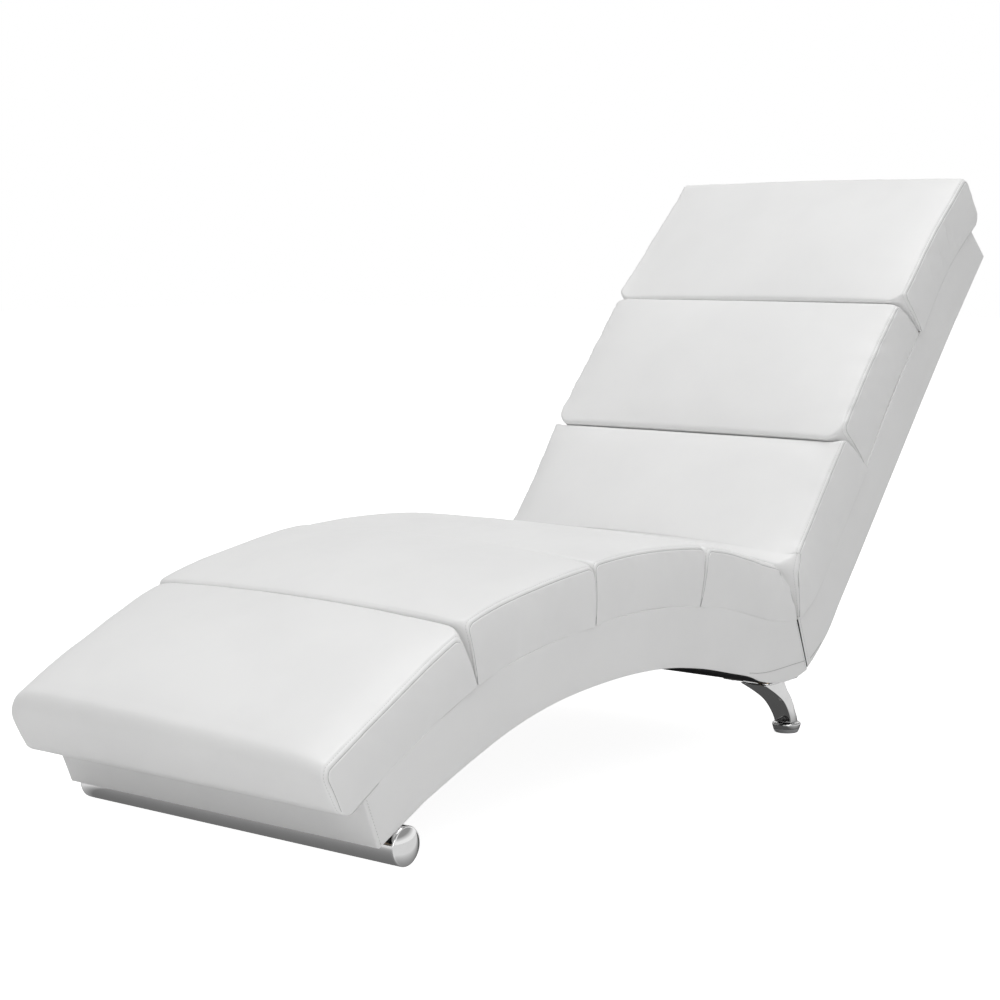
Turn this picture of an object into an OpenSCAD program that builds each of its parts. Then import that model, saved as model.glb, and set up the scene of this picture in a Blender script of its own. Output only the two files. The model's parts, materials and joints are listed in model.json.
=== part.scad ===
// Spa relaxation lounger: a padded S-curve couch on a chrome tube and two chrome legs.
// X runs from the foot end to the head end, Y across the width, Z up.
// The origin is on the floor at the middle of the plan.

/* [Overall size] */
// Length from the foot cushion's nose to the top rear corner of the back
overall_length = 1710; // [1500:5:1900]
// Width across the cushions' top seams
overall_width = 570; // [480:5:680]
// Height that the side outline is drawn to, at the head cushion's top seam
overall_height = 885; // [800:5:960]

/* [Frame] */
// Thickness of the plywood side panels, the front rail and the tube's board
panel_t = 18; // [12:1:24]
// Thickness of the rails across the frame
rail_t = 20; // [15:1:28]
// Depth of the cross rails below the deck
rail_depth = 46; // [30:1:52]
// Thickness of the bent plywood deck boards
deck_t = 6; // [3:0.5:9]
// Thickness of the hardboard behind the back
rear_board_t = 4; // [3:0.5:6]
// Thickness of the padded leatherette on the frame
cover_t = 3; // [2:0.5:5]
// How far the side covers hang below the wood
cover_lap = 3; // [1:0.5:5]
// Opening left between the base cover and the back cover
split_gap = 1.6; // [0.6:0.2:3]
// Thickness of the black dust cloth
cloth_t = 1; // [0.6:0.2:1.6]
// Side of the beech glue blocks
glue_block = 24; // [16:1:30]
// Thickness of the hook-and-loop strips
strip_t = 1.2; // [0.8:0.1:2]
// Width of the hook-and-loop strips
strip_w = 25; // [16:1:40]

/* [Cushions] */
// Side height of the foot, calf, knee and seat cushions
seat_cushion_t = 79; // [60:1:95]
// Side height of the lumbar cushion
lumbar_cushion_t = 84; // [60:1:95]
// Side height of the shoulder cushion
shoulder_cushion_t = 96; // [70:1:105]
// Side height of the head cushion
head_cushion_t = 77; // [60:1:95]
// Rise of the top panel in the middle of the width
crown = 22; // [10:1:34]
// How far the sides draw in between the corners
draw_in = 4; // [0:0.5:8]
// How far the side walls swell at half height
side_swell = 3; // [0:0.5:6]
// Radius of the long top edges
edge_r = 13; // [8:1:20]
// Radius where one cushion meets the next
end_r = 11; // [6:1:18]
// Gap between neighbouring cushions
cushion_gap = 1.5; // [0.5:0.5:4]

/* [Front tube] */
// Diameter of the chrome tube
tube_d = 52; // [44:1:60]
// Wall of the chrome tube
tube_wall = 2; // [1.5:0.5:3]
// Height of the domed end caps
cap_dome = 8; // [4:1:12]
// Depth that the end caps reach into the tube
cap_plug = 16; // [10:1:24]
// Width of each saddle along the tube
saddle_w = 32; // [24:1:50]
// Diameter of the tube's bolts
tube_bolt_d = 8; // [6:1:10]

/* [Rear legs] */
// Fore and aft reach of the leg casting
leg_run = 114; // [90:1:126]
// Width of the leg casting at the top
leg_top_w = 45; // [34:1:50]
// Width of the leg casting at the foot
leg_foot_w = 30; // [24:1:34]
// Thickness of the leg's top plate
plate_t = 4; // [3:0.5:6]
// Distance from a leg's middle to the side of the lounger
leg_inset = 33; // [32:1:60]
// Diameter of the leg screws
screw_d = 5; // [4:0.5:6]

/* [Levelling feet] */
// Diameter of the chrome disc
disc_d = 46; // [40:1:56]
// Thickness of the chrome disc
disc_t = 9; // [7:0.5:12]
// Diameter of the threaded stud
stud_d = 8; // [6:1:10]
// Travel of the levelling screw
level_travel = 5; // [2:0.5:6]
// Length of stud left in the leg at full travel
stud_grip = 6; // [5:0.5:8]
// Thickness of the plastic glide
glide_t = 6.5; // [4:0.5:9]
// Diameter of the glide where it meets the floor
glide_d = 37; // [30:1:44]

/* [Fasteners] */
// Diameter of the bolts that hold the back to the base
back_bolt_d = 8; // [6:1:10]
// Number of bolts that hold the back to the base
back_bolt_count = 4; // [2:1:6]

/* [Hidden] */
$fn = 96;

// Sides of the lounger, as a sitter names them
left = -1;
right = 1;
// Clearance of cushions over what they lie on, of a saddle on its tube, and between flat faces that meet
rest_gap = 0.3;
saddle_fit = 0.1;
face_fit = 0.05;
// Clearance round a bolt, a screw's thread, a stud and a glide's spigot
bolt_clearance = 0.25;
thread_fit = 0.05;
stud_fit = 0.1;
// Overrun of cuts, and how far lines run on before they are trimmed
overrun = 2;
run_on = 160;

// Outline points from the nose and the floor, as shares of the length and the height
// Line that the seat cushions lie on, foot end first
seat_shares = [[0.023, 0.093], [0.082, 0.154], [0.170, 0.233], [0.257, 0.268], [0.351, 0.286],
               [0.433, 0.283], [0.509, 0.263], [0.579, 0.226], [0.612, 0.213], [0.637, 0.213]];
// Lower edge of the base: where it starts along the length, and its points behind the straight stretch
hem_start_share = 0.058;
hem_shares = [[0.111, 0.086], [0.164, 0.124], [0.216, 0.156], [0.269, 0.177], [0.322, 0.187],
              [0.374, 0.190], [0.427, 0.185], [0.480, 0.169], [0.526, 0.148], [0.557, 0.133],
              [0.576, 0.119], [0.597, 0.110], [0.620, 0.106], [0.640, 0.109], [0.657, 0.117]];
// Line that the back cushions lie on, crotch first
back_shares = [[0.637, 0.213], [0.666, 0.245], [0.702, 0.321], [0.749, 0.436], [0.807, 0.580],
               [0.866, 0.712], [0.918, 0.822], [0.968, 0.901]];
// Rear outline of the back, heel first
rear_shares = [[0.657, 0.117], [0.673, 0.138], [0.696, 0.176], [0.716, 0.223], [0.754, 0.307],
               [0.819, 0.454], [0.877, 0.585], [0.936, 0.715], [1, 0.848]];
// Top of the base's front face
front_top_share = [0.042, 0.111];
// Where one cushion meets the next, along the length
seat_joint_shares = [0.170, 0.3215, 0.4745];
back_joint_shares = [0.760, 0.864];
foot_nose_share = 0.0247;
// Place of the chrome tube along the length
tube_place_share = 0.0854;
// Middle of each base cross rail and back mid rail, along the length
base_rail_shares = [0.175, 0.300, 0.420, 0.540];
back_rail_shares = [0.745, 0.850];
// Leg casting outline, from its front top corner, as shares of its run and height
leg_front_shares = [[0, 1], [0.14, 0.895], [0.325, 0.75], [0.51, 0.58], [0.62, 0.44], [0.71, 0.28],
                    [0.77, 0.14], [0.807, 0]];
leg_rear_shares = [[0.51, 1], [0.61, 0.80], [0.73, 0.62], [0.825, 0.44], [0.90, 0.255],
                   [0.956, 0.137], [1, 0]];
// Fore and aft place of the leg castings and the level part of the underside
leg_start_share = 0.591;
level_start_share = 0.588;
level_end_share = 0.645;
// Height of the rail over the legs, as a share of the way up to the crotch
leg_rail_share = 0.42;

// Steps of the smoothed lines
line_step_count = 4;
leg_step_count = 3;

function lerp(a, b, t) = a + (b - a) * t;
function unit(v) = v / norm(v);
function left_of(v) = [-v[1], v[0]];
function reversed(list) = [for (i = [len(list) - 1 : -1 : 0]) list[i]];
function sized(shares) = [for (s = shares) [s[0] * overall_length, s[1] * overall_height]];

// Smooth curve through hand-placed points
function blend_point(a, b, c, d, t) =
    0.5 * (2 * b + (c - a) * t + (2 * a - 5 * b + 4 * c - d) * t * t
           + (3 * b - a - 3 * c + d) * t * t * t);
function smoothed(p, steps) =
    let (last = len(p) - 1)
    [for (i = [0 : last - 1], j = [0 : steps - 1])
        blend_point(p[max(i - 1, 0)], p[i], p[i + 1], p[min(i + 2, last)], j / steps), p[last]];

// Direction of a line at one of its points, the line moved sideways, and the line run on at both ends
function line_dir(line, i) = unit(line[min(i + 1, len(line) - 1)] - line[max(i - 1, 0)]);
function offset_line(line, d) = [for (i = [0 : len(line) - 1]) line[i] + d * left_of(line_dir(line, i))];
function run_on_line(line) =
    let (last = len(line) - 1)
    concat([line[0] - run_on * line_dir(line, 0)], line, [line[last] + run_on * line_dir(line, last)]);

// A cut is two points, upper one first; what lies towards the head end is behind it
function cut_side(cut, p) = cross(cut[1] - cut[0], p - cut[0]);
function moved_cut(cut, d) = let (n = left_of(unit(cut[1] - cut[0]))) [cut[0] + d * n, cut[1] + d * n];
function crossing(cut, a, b) =
    let (sa = cut_side(cut, a), sb = cut_side(cut, b)) lerp(a, b, sa / (sa - sb));
function kept(line, cut, side) =
    [for (i = [0 : len(line) - 1]) let (s = side * cut_side(cut, line[i]))
        each concat(s >= 0 ? [line[i]] : [],
                    i < len(line) - 1 && s * side * cut_side(cut, line[i + 1]) < 0
                    ? [crossing(cut, line[i], line[i + 1])] : [])];
// Outline between an upper and a lower line, from a front cut to a rear cut
function between(upper, lower, front, rear) =
    concat(kept(kept(run_on_line(upper), front, 1), rear, -1),
           reversed(kept(kept(run_on_line(lower), front, 1), rear, -1)));

// Places along a line, by distance from its first point
function run_lengths(line) =
    [for (i = 0, s = 0; i < len(line); s = s + (i + 1 < len(line) ? norm(line[i + 1] - line[i]) : 0),
          i = i + 1) s];
function segment_at(runs, s) =
    let (hits = [for (i = [0 : len(runs) - 2]) if (runs[i + 1] >= s) i])
    len(hits) > 0 ? hits[0] : len(runs) - 2;
function point_at(line, runs, s) =
    let (i = segment_at(runs, s)) lerp(line[i], line[i + 1], (s - runs[i]) / (runs[i + 1] - runs[i]));
function dir_at(line, runs, s) =
    unit(point_at(line, runs, s + smooth_reach) - point_at(line, runs, s - smooth_reach));
// Distance along a line at which it reaches a given place along the length
function run_to(line, runs, x) =
    let (hits = [for (i = [0 : len(line) - 2]) if (line[i][0] <= x && line[i + 1][0] > x) i], i = hits[0])
    lerp(runs[i], runs[i + 1], (x - line[i][0]) / (line[i + 1][0] - line[i][0]));
function cut_at(line, runs, s) =
    let (p = point_at(line, runs, s), n = left_of(dir_at(line, runs, s))) [p + run_on * n, p - run_on * n];

smooth_reach = 6;
seat_line = smoothed(sized(seat_shares), line_step_count);

// The tube stands on the floor, and the straight front of the hem touches it from above
tube_r = tube_d / 2;
tube_axis = [tube_place_share * overall_length, tube_r];
hem_bend = sized([hem_shares[0]])[0];
hem_reach = tube_axis - hem_bend;
hem_angle = atan2(hem_reach[1], hem_reach[0]) - asin((tube_r + rest_gap) / norm(hem_reach));
hem_start_x = hem_start_share * overall_length;
hem_start = [hem_start_x, hem_bend[1] + (hem_start_x - hem_bend[0]) * tan(hem_angle)];
hem_line = concat([hem_start], smoothed(sized(hem_shares), line_step_count));
back_line = smoothed(sized(back_shares), line_step_count);
rear_line = smoothed(sized(rear_shares), line_step_count);
seat_runs = run_lengths(seat_line);
back_runs = run_lengths(back_line);

crotch = seat_line[len(seat_line) - 1];
heel = rear_line[0];
front_cut = [sized([front_top_share])[0], hem_line[0]];
split_cut = [crotch, heel];
top_cut = [back_line[len(back_line) - 1], rear_line[len(rear_line) - 1]];

// The frame covers stand a little inside the cushions
cover_inset = 1;
half_cover = overall_width / 2 - cover_inset;
half_frame = half_cover - cover_t;
half_inside = half_frame - panel_t;

// Wood lines: under the deck boards, above the hem, inside the rear board
deck_drop = strip_t + deck_t;
seat_wood = offset_line(seat_line, -deck_drop);
back_wood = offset_line(back_line, -deck_drop);
rear_wood = offset_line(rear_line, cover_t + rear_board_t);
lapped_hem = offset_line(hem_line, cover_lap);
level_start = level_start_share * overall_length;
level_end = level_end_share * overall_length;
level_z = min([for (p = hem_line) if (p[0] > level_start) p[1]]) + cover_lap;
under_line = concat([for (p = lapped_hem) if (p[0] < level_start) p],
                    [[level_start, level_z], [level_end, level_z]],
                    [for (p = lapped_hem) if (p[0] > level_end && p[1] > level_z) p]);

// Extrudes a side outline across the width
module across(y0, y1, outline) {
    translate([-mid_x, y1, 0])
        rotate([90, 0, 0]) linear_extrude(y1 - y0) polygon(outline);
}
// A bar across the width through a point of the side outline, its length along a side direction
module along_side(p, dir, y) {
    translate([p[0] - mid_x, y, p[1]])
        rotate([0, 90 - atan2(dir[1], dir[0]), 0]) children();
}

// Wooden frame of the base
module base_side_panel(side) {
    inner = side * half_inside;
    outer = side * half_frame;
    color("burlywood") difference() {
        across(min(inner, outer), max(inner, outer),
               between(seat_wood, under_line, moved_cut(front_cut, cover_t),
                       moved_cut(split_cut, -face_fit)));
        leg_screw_places() screw_hole();
    }
}
module base_front_rail() {
    color("tan")
        across(-half_inside, half_inside,
               between(seat_wood, under_line, moved_cut(front_cut, cover_t),
                       moved_cut(front_cut, cover_t + panel_t)));
}
module base_cross_rail(i) {
    s = run_to(seat_line, seat_runs, base_rail_shares[i - 1] * overall_length);
    color("tan")
        across(-half_inside, half_inside,
               between(offset_line(seat_line, -deck_drop - rest_gap),
                       offset_line(seat_line, -deck_drop - rail_depth),
                       cut_at(seat_line, seat_runs, s - rail_t / 2),
                       cut_at(seat_line, seat_runs, s + rail_t / 2)));
}
module base_rear_rail() {
    color("tan") difference() {
        across(-half_inside, half_inside,
               between(seat_wood, under_line, moved_cut(split_cut, -rail_t),
                       moved_cut(split_cut, -face_fit)));
        back_bolt_holes(back_bolt_d / 2 + bolt_clearance);
    }
}
module rear_leg_rail() {
    level_line = [[level_start, level_z], [level_end, level_z]];
    top_line = [for (p = level_line) p + [0, leg_rail_share * (crotch[1] - level_z)]];
    start_cut = [[level_start, level_z + run_on], [level_start, level_z]];
    color("tan") difference() {
        across(-half_inside, half_inside,
               between(top_line, level_line, start_cut, moved_cut(split_cut, -rail_t - face_fit)));
        leg_screw_places() screw_hole();
    }
}
module tube_mounting_board() {
    front = moved_cut(front_cut, cover_t + panel_t + face_fit);
    color("tan") difference() {
        across(-half_inside, half_inside,
               between(offset_line(straight_hem, cover_lap + panel_t), offset_line(straight_hem, cover_lap),
                       front, moved_cut(tube_cut, tube_board_reach)));
        tube_bolt_places() cylinder(d = tube_bolt_d + 2 * bolt_clearance, h = 2 * run_on, center = true);
    }
}
module base_glue_blocks() {
    color("peru")
        for (i = [1 : len(base_rail_shares)], side = [left, right]) {
            s = run_to(seat_line, seat_runs, base_rail_shares[i - 1] * overall_length) + rail_t / 2;
            p = point_at(seat_line, seat_runs, s);
            dir = dir_at(seat_line, seat_runs, s);
            drop = deck_drop + rail_depth;
            along_side(p - (drop - rest_gap) * left_of(dir), left_of(dir), side * half_inside)
                linear_extrude(rail_depth - glue_block / 2)
                    polygon([[0, 0], [glue_block, 0], [0, -side * glue_block]]);
        }
}
module seat_deck_board() {
    color("burlywood")
        across(-half_frame, half_frame,
               between(offset_line(seat_line, -strip_t), seat_wood, moved_cut(front_cut, cover_t),
                       moved_cut(split_cut, -split_gap / 2)));
}

// Covers of the base
module base_side_cover(side) {
    inner = side * half_frame;
    outer = side * half_cover;
    color("whitesmoke")
        across(min(inner, outer), max(inner, outer),
               between(seat_line, hem_line, front_cut, moved_cut(split_cut, -split_gap / 2)));
}
module base_front_cover() {
    color("whitesmoke")
        across(-half_frame, half_frame,
               between(seat_line, hem_line, front_cut, moved_cut(front_cut, cover_t)));
}
module base_dust_cloth() {
    cloth_start = moved_cut(tube_cut, tube_board_reach);
    cloth_end = [[level_end, level_z + run_on], [level_end, level_z]];
    color("black") difference() {
        across(-half_frame, half_frame,
               between(under_line, offset_line(under_line, -cloth_t), cloth_start, cloth_end));
        leg_screw_places() screw_hole();
    }
}

// Chrome tube under the foot end, a little longer than the base is wide
tube_overhang = 3;
tube_half = half_cover + tube_overhang;
straight_hem = [hem_start, hem_bend];
hem_up = left_of(unit(hem_bend - hem_start));
tube_top = tube_axis + tube_r * hem_up;
// Cut square to the hem through the tube, and how far the board runs on behind it
tube_cut = [tube_top + run_on * hem_up, tube_top];
tube_board_reach = 46;
// Places of the tube's bolts across the width, and how much thread they have inside, in tube walls
tube_bolt_shares = [-0.36, 0, 0.36];
tube_thread_walls = 3;
tube_bolt_l = panel_t + cover_lap + rest_gap + tube_thread_walls * tube_wall;
// Half of a saddle's length round the tube, as a share of the tube's radius
saddle_reach_share = 0.55;

module across_tube(y) {
    translate([tube_axis[0] - mid_x, y, tube_axis[1]]) rotate([90, 0, 0]) children();
}
module tube_bolt_places() {
    for (share = tube_bolt_shares) along_side(tube_top, hem_up, share * overall_width) children();
}
module front_tube() {
    color("silver") difference() {
        across_tube(tube_half) cylinder(r = tube_r, h = 2 * tube_half);
        across_tube(tube_half + overrun) cylinder(r = tube_r - tube_wall, h = 2 * (tube_half + overrun));
        tube_bolt_places() cylinder(d = tube_bolt_d + 2 * thread_fit, h = tube_r, center = true);
    }
}
// Domed cap on an end of the tube, with its plug inside the bore
module front_tube_cap(side) {
    dome_r = (tube_r * tube_r + cap_dome * cap_dome) / (2 * cap_dome);
    dome_angle = asin(tube_r / dome_r);
    dome_steps = 10;
    plug_r = tube_r - tube_wall - thread_fit;
    color("silver") translate([tube_axis[0] - mid_x, side * tube_half, tube_axis[1]])
        rotate([-side * 90, 0, 0])
            rotate_extrude()
                polygon(concat([[0, -cap_plug], [plug_r, -cap_plug], [plug_r, 0]],
                               [for (i = [0 : dome_steps]) let (a = dome_angle * (1 - i / dome_steps))
                                   [dome_r * sin(a), cap_dome - dome_r + dome_r * cos(a)]]));
}
// Saddles that fill the small space between the tube and its board
module front_tube_saddles() {
    saddle_reach = tube_r * saddle_reach_share;
    saddle_top = offset_line(straight_hem, cover_lap);
    saddle_low = offset_line(straight_hem, -tube_r / 2);
    color("dimgray") difference() {
        for (share = tube_bolt_shares)
            across(share * overall_width - saddle_w / 2, share * overall_width + saddle_w / 2,
                   between(saddle_top, saddle_low, moved_cut(tube_cut, -saddle_reach),
                           moved_cut(tube_cut, saddle_reach)));
        across_tube(tube_half) cylinder(r = tube_r + saddle_fit, h = 2 * tube_half);
        tube_bolt_places() cylinder(d = tube_bolt_d + 2 * bolt_clearance, h = tube_r, center = true);
    }
}
module front_tube_bolts() {
    board_top = cover_lap + rest_gap + panel_t;
    color("gray") tube_bolt_places() {
        translate([0, 0, board_top - tube_bolt_l]) cylinder(d = tube_bolt_d, h = tube_bolt_l);
        translate([0, 0, board_top]) hexagon_head(tube_bolt_d);
    }
}
// Across-corners size and height of a hexagon head, as shares of its shank
head_ratio = 1.87;
head_h_ratio = 0.65;
module hexagon_head(shank_d) {
    cylinder(d = shank_d * head_ratio, h = shank_d * head_h_ratio, $fn = 6);
}

// Wooden frame of the back
module back_side_panel(side) {
    inner = side * half_inside;
    outer = side * half_frame;
    color("burlywood")
        across(min(inner, outer), max(inner, outer),
               between(back_wood, rear_wood, split_cut, moved_cut(top_cut, -cover_t)));
}
module back_bottom_rail() {
    color("tan") difference() {
        across(-half_inside, half_inside,
               between(back_wood, rear_wood, split_cut, moved_cut(split_cut, rail_t)));
        back_bolt_holes(tee_nut_d / 2 + thread_fit);
    }
}
module back_mid_rail(i) {
    s = run_to(back_line, back_runs, back_rail_shares[i] * overall_length);
    color("tan")
        across(-half_inside, half_inside,
               between(offset_line(back_line, -deck_drop - rest_gap),
                       offset_line(back_line, -deck_drop - rail_depth),
                       cut_at(back_line, back_runs, s - rail_t / 2),
                       cut_at(back_line, back_runs, s + rail_t / 2)));
}
module back_top_rail() {
    color("tan")
        across(-half_inside, half_inside,
               between(back_wood, rear_wood, moved_cut(top_cut, -cover_t - rail_t),
                       moved_cut(top_cut, -cover_t)));
}
module back_deck_board() {
    color("burlywood")
        across(-half_frame, half_frame,
               between(offset_line(back_line, -strip_t), back_wood, moved_cut(split_cut, split_gap / 2),
                       moved_cut(top_cut, -cover_t)));
}
module back_rear_board() {
    color("sienna")
        across(-half_frame, half_frame,
               between(offset_line(rear_wood, -face_fit), offset_line(rear_line, cover_t),
                       moved_cut(split_cut, split_gap / 2), moved_cut(top_cut, -cover_t - face_fit)));
}

// Covers of the back
module back_side_cover(side) {
    inner = side * half_frame;
    outer = side * half_cover;
    color("whitesmoke")
        across(min(inner, outer), max(inner, outer),
               between(back_line, rear_line, moved_cut(split_cut, split_gap / 2), top_cut));
}
module back_rear_cover() {
    color("whitesmoke")
        across(-half_frame, half_frame,
               between(offset_line(rear_line, cover_t - face_fit), rear_line,
                       moved_cut(split_cut, split_gap / 2), top_cut));
}
module back_top_cover() {
    color("whitesmoke")
        across(-half_frame, half_frame,
               between(back_line, offset_line(rear_line, cover_t), moved_cut(top_cut, -cover_t), top_cut));
}

// Bolts through the two end rails, square to the split
split_dir = unit(heel - crotch);
split_out = left_of(split_dir);
bolt_drop_share = 0.35;
bolt_span_share = 0.74;
washer_t = 1.6;
washer_ratio = 2.1;
tee_wall = 1;
tee_flange_t = 1.5;
tee_flange_ratio = 2;
tee_nut_d = back_bolt_d + 2 * tee_wall;
tee_barrel_l = rail_t / 2;
bolt_middle = lerp(crotch, heel, bolt_drop_share);

module back_bolt_places() {
    reach = bolt_span_share * half_inside;
    for (i = [0 : back_bolt_count - 1])
        along_side(bolt_middle, split_out, lerp(-reach, reach, i / (back_bolt_count - 1))) children();
}
module back_bolt_holes(r) {
    back_bolt_places() cylinder(r = r, h = run_on, center = true);
}
module back_fixing_bolts() {
    head_place = rail_t + washer_t;
    color("gray") back_bolt_places() {
        translate([0, 0, -head_place]) cylinder(d = back_bolt_d, h = head_place + rail_t + tee_flange_t);
        translate([0, 0, -head_place - back_bolt_d * head_h_ratio]) hexagon_head(back_bolt_d);
    }
}
module back_fixing_washers() {
    color("silver") back_bolt_places() translate([0, 0, -rail_t - washer_t]) difference() {
        cylinder(d = back_bolt_d * washer_ratio, h = washer_t);
        translate([0, 0, -overrun])
            cylinder(d = back_bolt_d + 2 * bolt_clearance, h = washer_t + 2 * overrun);
    }
}
module back_tee_nuts() {
    color("silver") back_bolt_places() difference() {
        union() {
            translate([0, 0, rail_t - tee_barrel_l]) cylinder(d = tee_nut_d, h = tee_barrel_l);
            translate([0, 0, rail_t]) cylinder(d = tee_nut_d * tee_flange_ratio, h = tee_flange_t);
        }
        cylinder(d = back_bolt_d + 2 * thread_fit, h = rail_t + tee_flange_t + overrun);
    }
}

// Hook-and-loop strips, two under each cushion
strip_shares = [0.25, 0.75];
module cushion_fixing_strips() {
    color("black") {
        for (c = [0 : len(seat_stations) - 2], share = strip_shares)
            strip(seat_line, seat_runs, lerp(seat_stations[c], seat_stations[c + 1], share));
        for (c = [0 : len(back_stations) - 2], share = strip_shares)
            strip(back_line, back_runs, lerp(back_stations[c], back_stations[c + 1], share));
    }
}
module strip(line, runs, s) {
    across(-half_inside, half_inside,
           between(line, offset_line(line, -strip_t + face_fit), cut_at(line, runs, s - strip_w / 2),
                   cut_at(line, runs, s + strip_w / 2)));
}

// Cushions: rings swept along the line that they lie on
// How far the head cushion stands past the frame, and the roundness of its end and of the nose
head_overhang = 30;
head_end_r = 20;
nose_r = 16;
// How much of an end's rounding its lower edge has
nose_under_share = 0.5;
head_under_share = 1;
// Lean of the end faces: at the crotch they meet on one plane
seat_crotch_lean = 31;
back_crotch_lean = -22;
lean_reach = 90;
bottom_r = 5;
crown_power = 3;
top_count = 13;
corner_count = 4;
end_count = 4;
body_count = 9;

seat_stations = concat([run_to(seat_line, seat_runs, foot_nose_share * overall_length)],
                       [for (joint = seat_joint_shares) run_to(seat_line, seat_runs, joint * overall_length)],
                       [seat_runs[len(seat_runs) - 1]]);
back_stations = concat([0],
                       [for (joint = back_joint_shares) run_to(back_line, back_runs, joint * overall_length)],
                       [back_runs[len(back_runs) - 1] + head_overhang]);
// Ring of a cushion in [across, up], its inset growing towards an end
function cushion_ring(half, t, inset, bottom_inset) =
    let (w = half - inset, flat = w - edge_r, low = bottom_r + bottom_inset, shoulder = t - inset - edge_r,
         swell = side_swell * (1 - inset / edge_r), step = 90 / corner_count)
    concat([[-(w - bottom_r), bottom_inset], [w - bottom_r, bottom_inset], [w, low],
            [w + swell, (low + shoulder + edge_r) / 2]],
           [for (i = [0 : corner_count - 1])
               [flat + edge_r * cos(i * step), shoulder + edge_r * sin(i * step)]],
           [for (i = [0 : top_count - 1]) let (f = 1 - 2 * i / (top_count - 1))
               [flat * f, shoulder + edge_r + crown * (1 - pow(abs(f), crown_power))]],
           [for (i = [corner_count - 1 : -1 : 0])
               [-flat - edge_r * cos(i * step), shoulder + edge_r * sin(i * step)]],
           [[-w - swell, (low + shoulder + edge_r) / 2], [-w, low]]);

// Stations of a cushion as [run, inset]: rounded at both ends, even between
function cushion_stations(s0, s1, r0, r1) =
    concat([for (i = [0 : end_count]) let (a = 90 * i / end_count)
               [s0 + r0 * (1 - cos(a)), r0 * (1 - sin(a))]],
           [for (i = [1 : body_count]) [lerp(s0 + r0, s1 - r1, i / (body_count + 1)), 0]],
           [for (i = [end_count : -1 : 0]) let (a = 90 * i / end_count)
               [s1 - r1 * (1 - cos(a)), r1 * (1 - sin(a))]]);

// Rings of a whole cushion in [along the length, across, up]
function cushion_rings(line, runs, s0, s1, t, r0, r1, lean0, lean1, under0, under1) =
    [for (st = cushion_stations(s0, s1, r0, r1))
        let (s = st[0], f = (s - s0) / (s1 - s0), inset = st[1],
             p = point_at(line, runs, s), n = left_of(dir_at(line, runs, s)),
             near0 = max(0, 1 - (s - s0) / lean_reach), near1 = max(0, 1 - (s1 - s) / lean_reach),
             lean = lean0 * near0 * near0 + lean1 * near1 * near1,
             up = [n[0] * cos(lean) - n[1] * sin(lean), n[0] * sin(lean) + n[1] * cos(lean)],
             under = inset * (f < 0.5 ? under0 : under1),
             half = overall_width / 2 - draw_in * sin(180 * f))
        [for (q = cushion_ring(half, t, min(inset, edge_r), under))
            let (side_point = p + (q[1] + rest_gap) * up) [side_point[0], q[0], side_point[1]]]];

module cushion(rings) {
    count = len(rings[0]);
    points = [for (ring = rings) each ring];
    walls = [for (i = [0 : len(rings) - 2], j = [0 : count - 1])
        let (a = i * count + j, b = i * count + (j + 1) % count)
        each [[a, a + count, b], [b, a + count, b + count]]];
    last = (len(rings) - 1) * count;
    ends = [for (j = [1 : count - 2]) each [[0, j, j + 1], [last, last + j + 1, last + j]]];
    color("white") translate([-mid_x, 0, 0]) polyhedron(points, concat(walls, ends), convexity = 4);
}
function seat_rings(i, lean1 = 0, r0 = end_r, under0 = 0) =
    cushion_rings(seat_line, seat_runs, seat_stations[i] + (i > 0 ? cushion_gap / 2 : 0),
                  seat_stations[i + 1] - cushion_gap / 2, seat_cushion_t, r0, end_r, 0, lean1, under0, 0);
function back_rings(i, t, lean0 = 0, r1 = end_r, under1 = 0) =
    cushion_rings(back_line, back_runs, back_stations[i] + cushion_gap / 2,
                  back_stations[i + 1] - (i < 2 ? cushion_gap / 2 : 0), t, end_r, r1, lean0, 0, 0, under1);

// Middle of the plan, between the nose and the back's top rear corner
foot_rings = seat_rings(0, r0 = nose_r, under0 = nose_under_share);
mid_x = (min([for (ring = foot_rings, q = ring) q[0]]) + overall_length) / 2;

// Chrome legs at the rear, their levelling feet and glides
disc_bottom = glide_t;
disc_top = disc_bottom + disc_t;
leg_top = level_z - cloth_t - plate_t;
leg_bottom = disc_top;
leg_start = leg_start_share * overall_length;
leg_y = overall_width / 2 - leg_inset;
// Place of the stud along the leg's run
stud_share = 0.905;
stud_l = level_travel + stud_grip;
stud_x = leg_start + stud_share * leg_run - mid_x;
plate_start = leg_start + 2 * plate_t;
plate_l = level_end - plate_start;
// Width of a top plate over the casting's, and its screws' distance from its edges over their shank
plate_w_ratio = 2;
plate_w = plate_w_ratio * leg_top_w;
plate_outer = half_frame - 2 * rest_gap;
screw_edge_ratio = 2.6;
screw_edge = screw_edge_ratio * screw_d;
screw_l = 28;
// Height, end width and full width of a screw's pan head, as shares of its shank
pan_head = [0.5, 1.3, 1.9];

// Rounding of the disc's edge, the glide's spigot in the underside of the disc, and the gap past the
// end of a spigot or a stud
disc_r = disc_d / 2;
rim_share = 0.25;
rim = disc_t * rim_share;
spigot_share = 0.4;
spigot_r = stud_d / 2;
spigot_h = disc_t * spigot_share;
blind_gap = 0.5;
// Height of the glide's tapered part, as a share of its thickness
glide_edge_share = 0.7;

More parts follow.
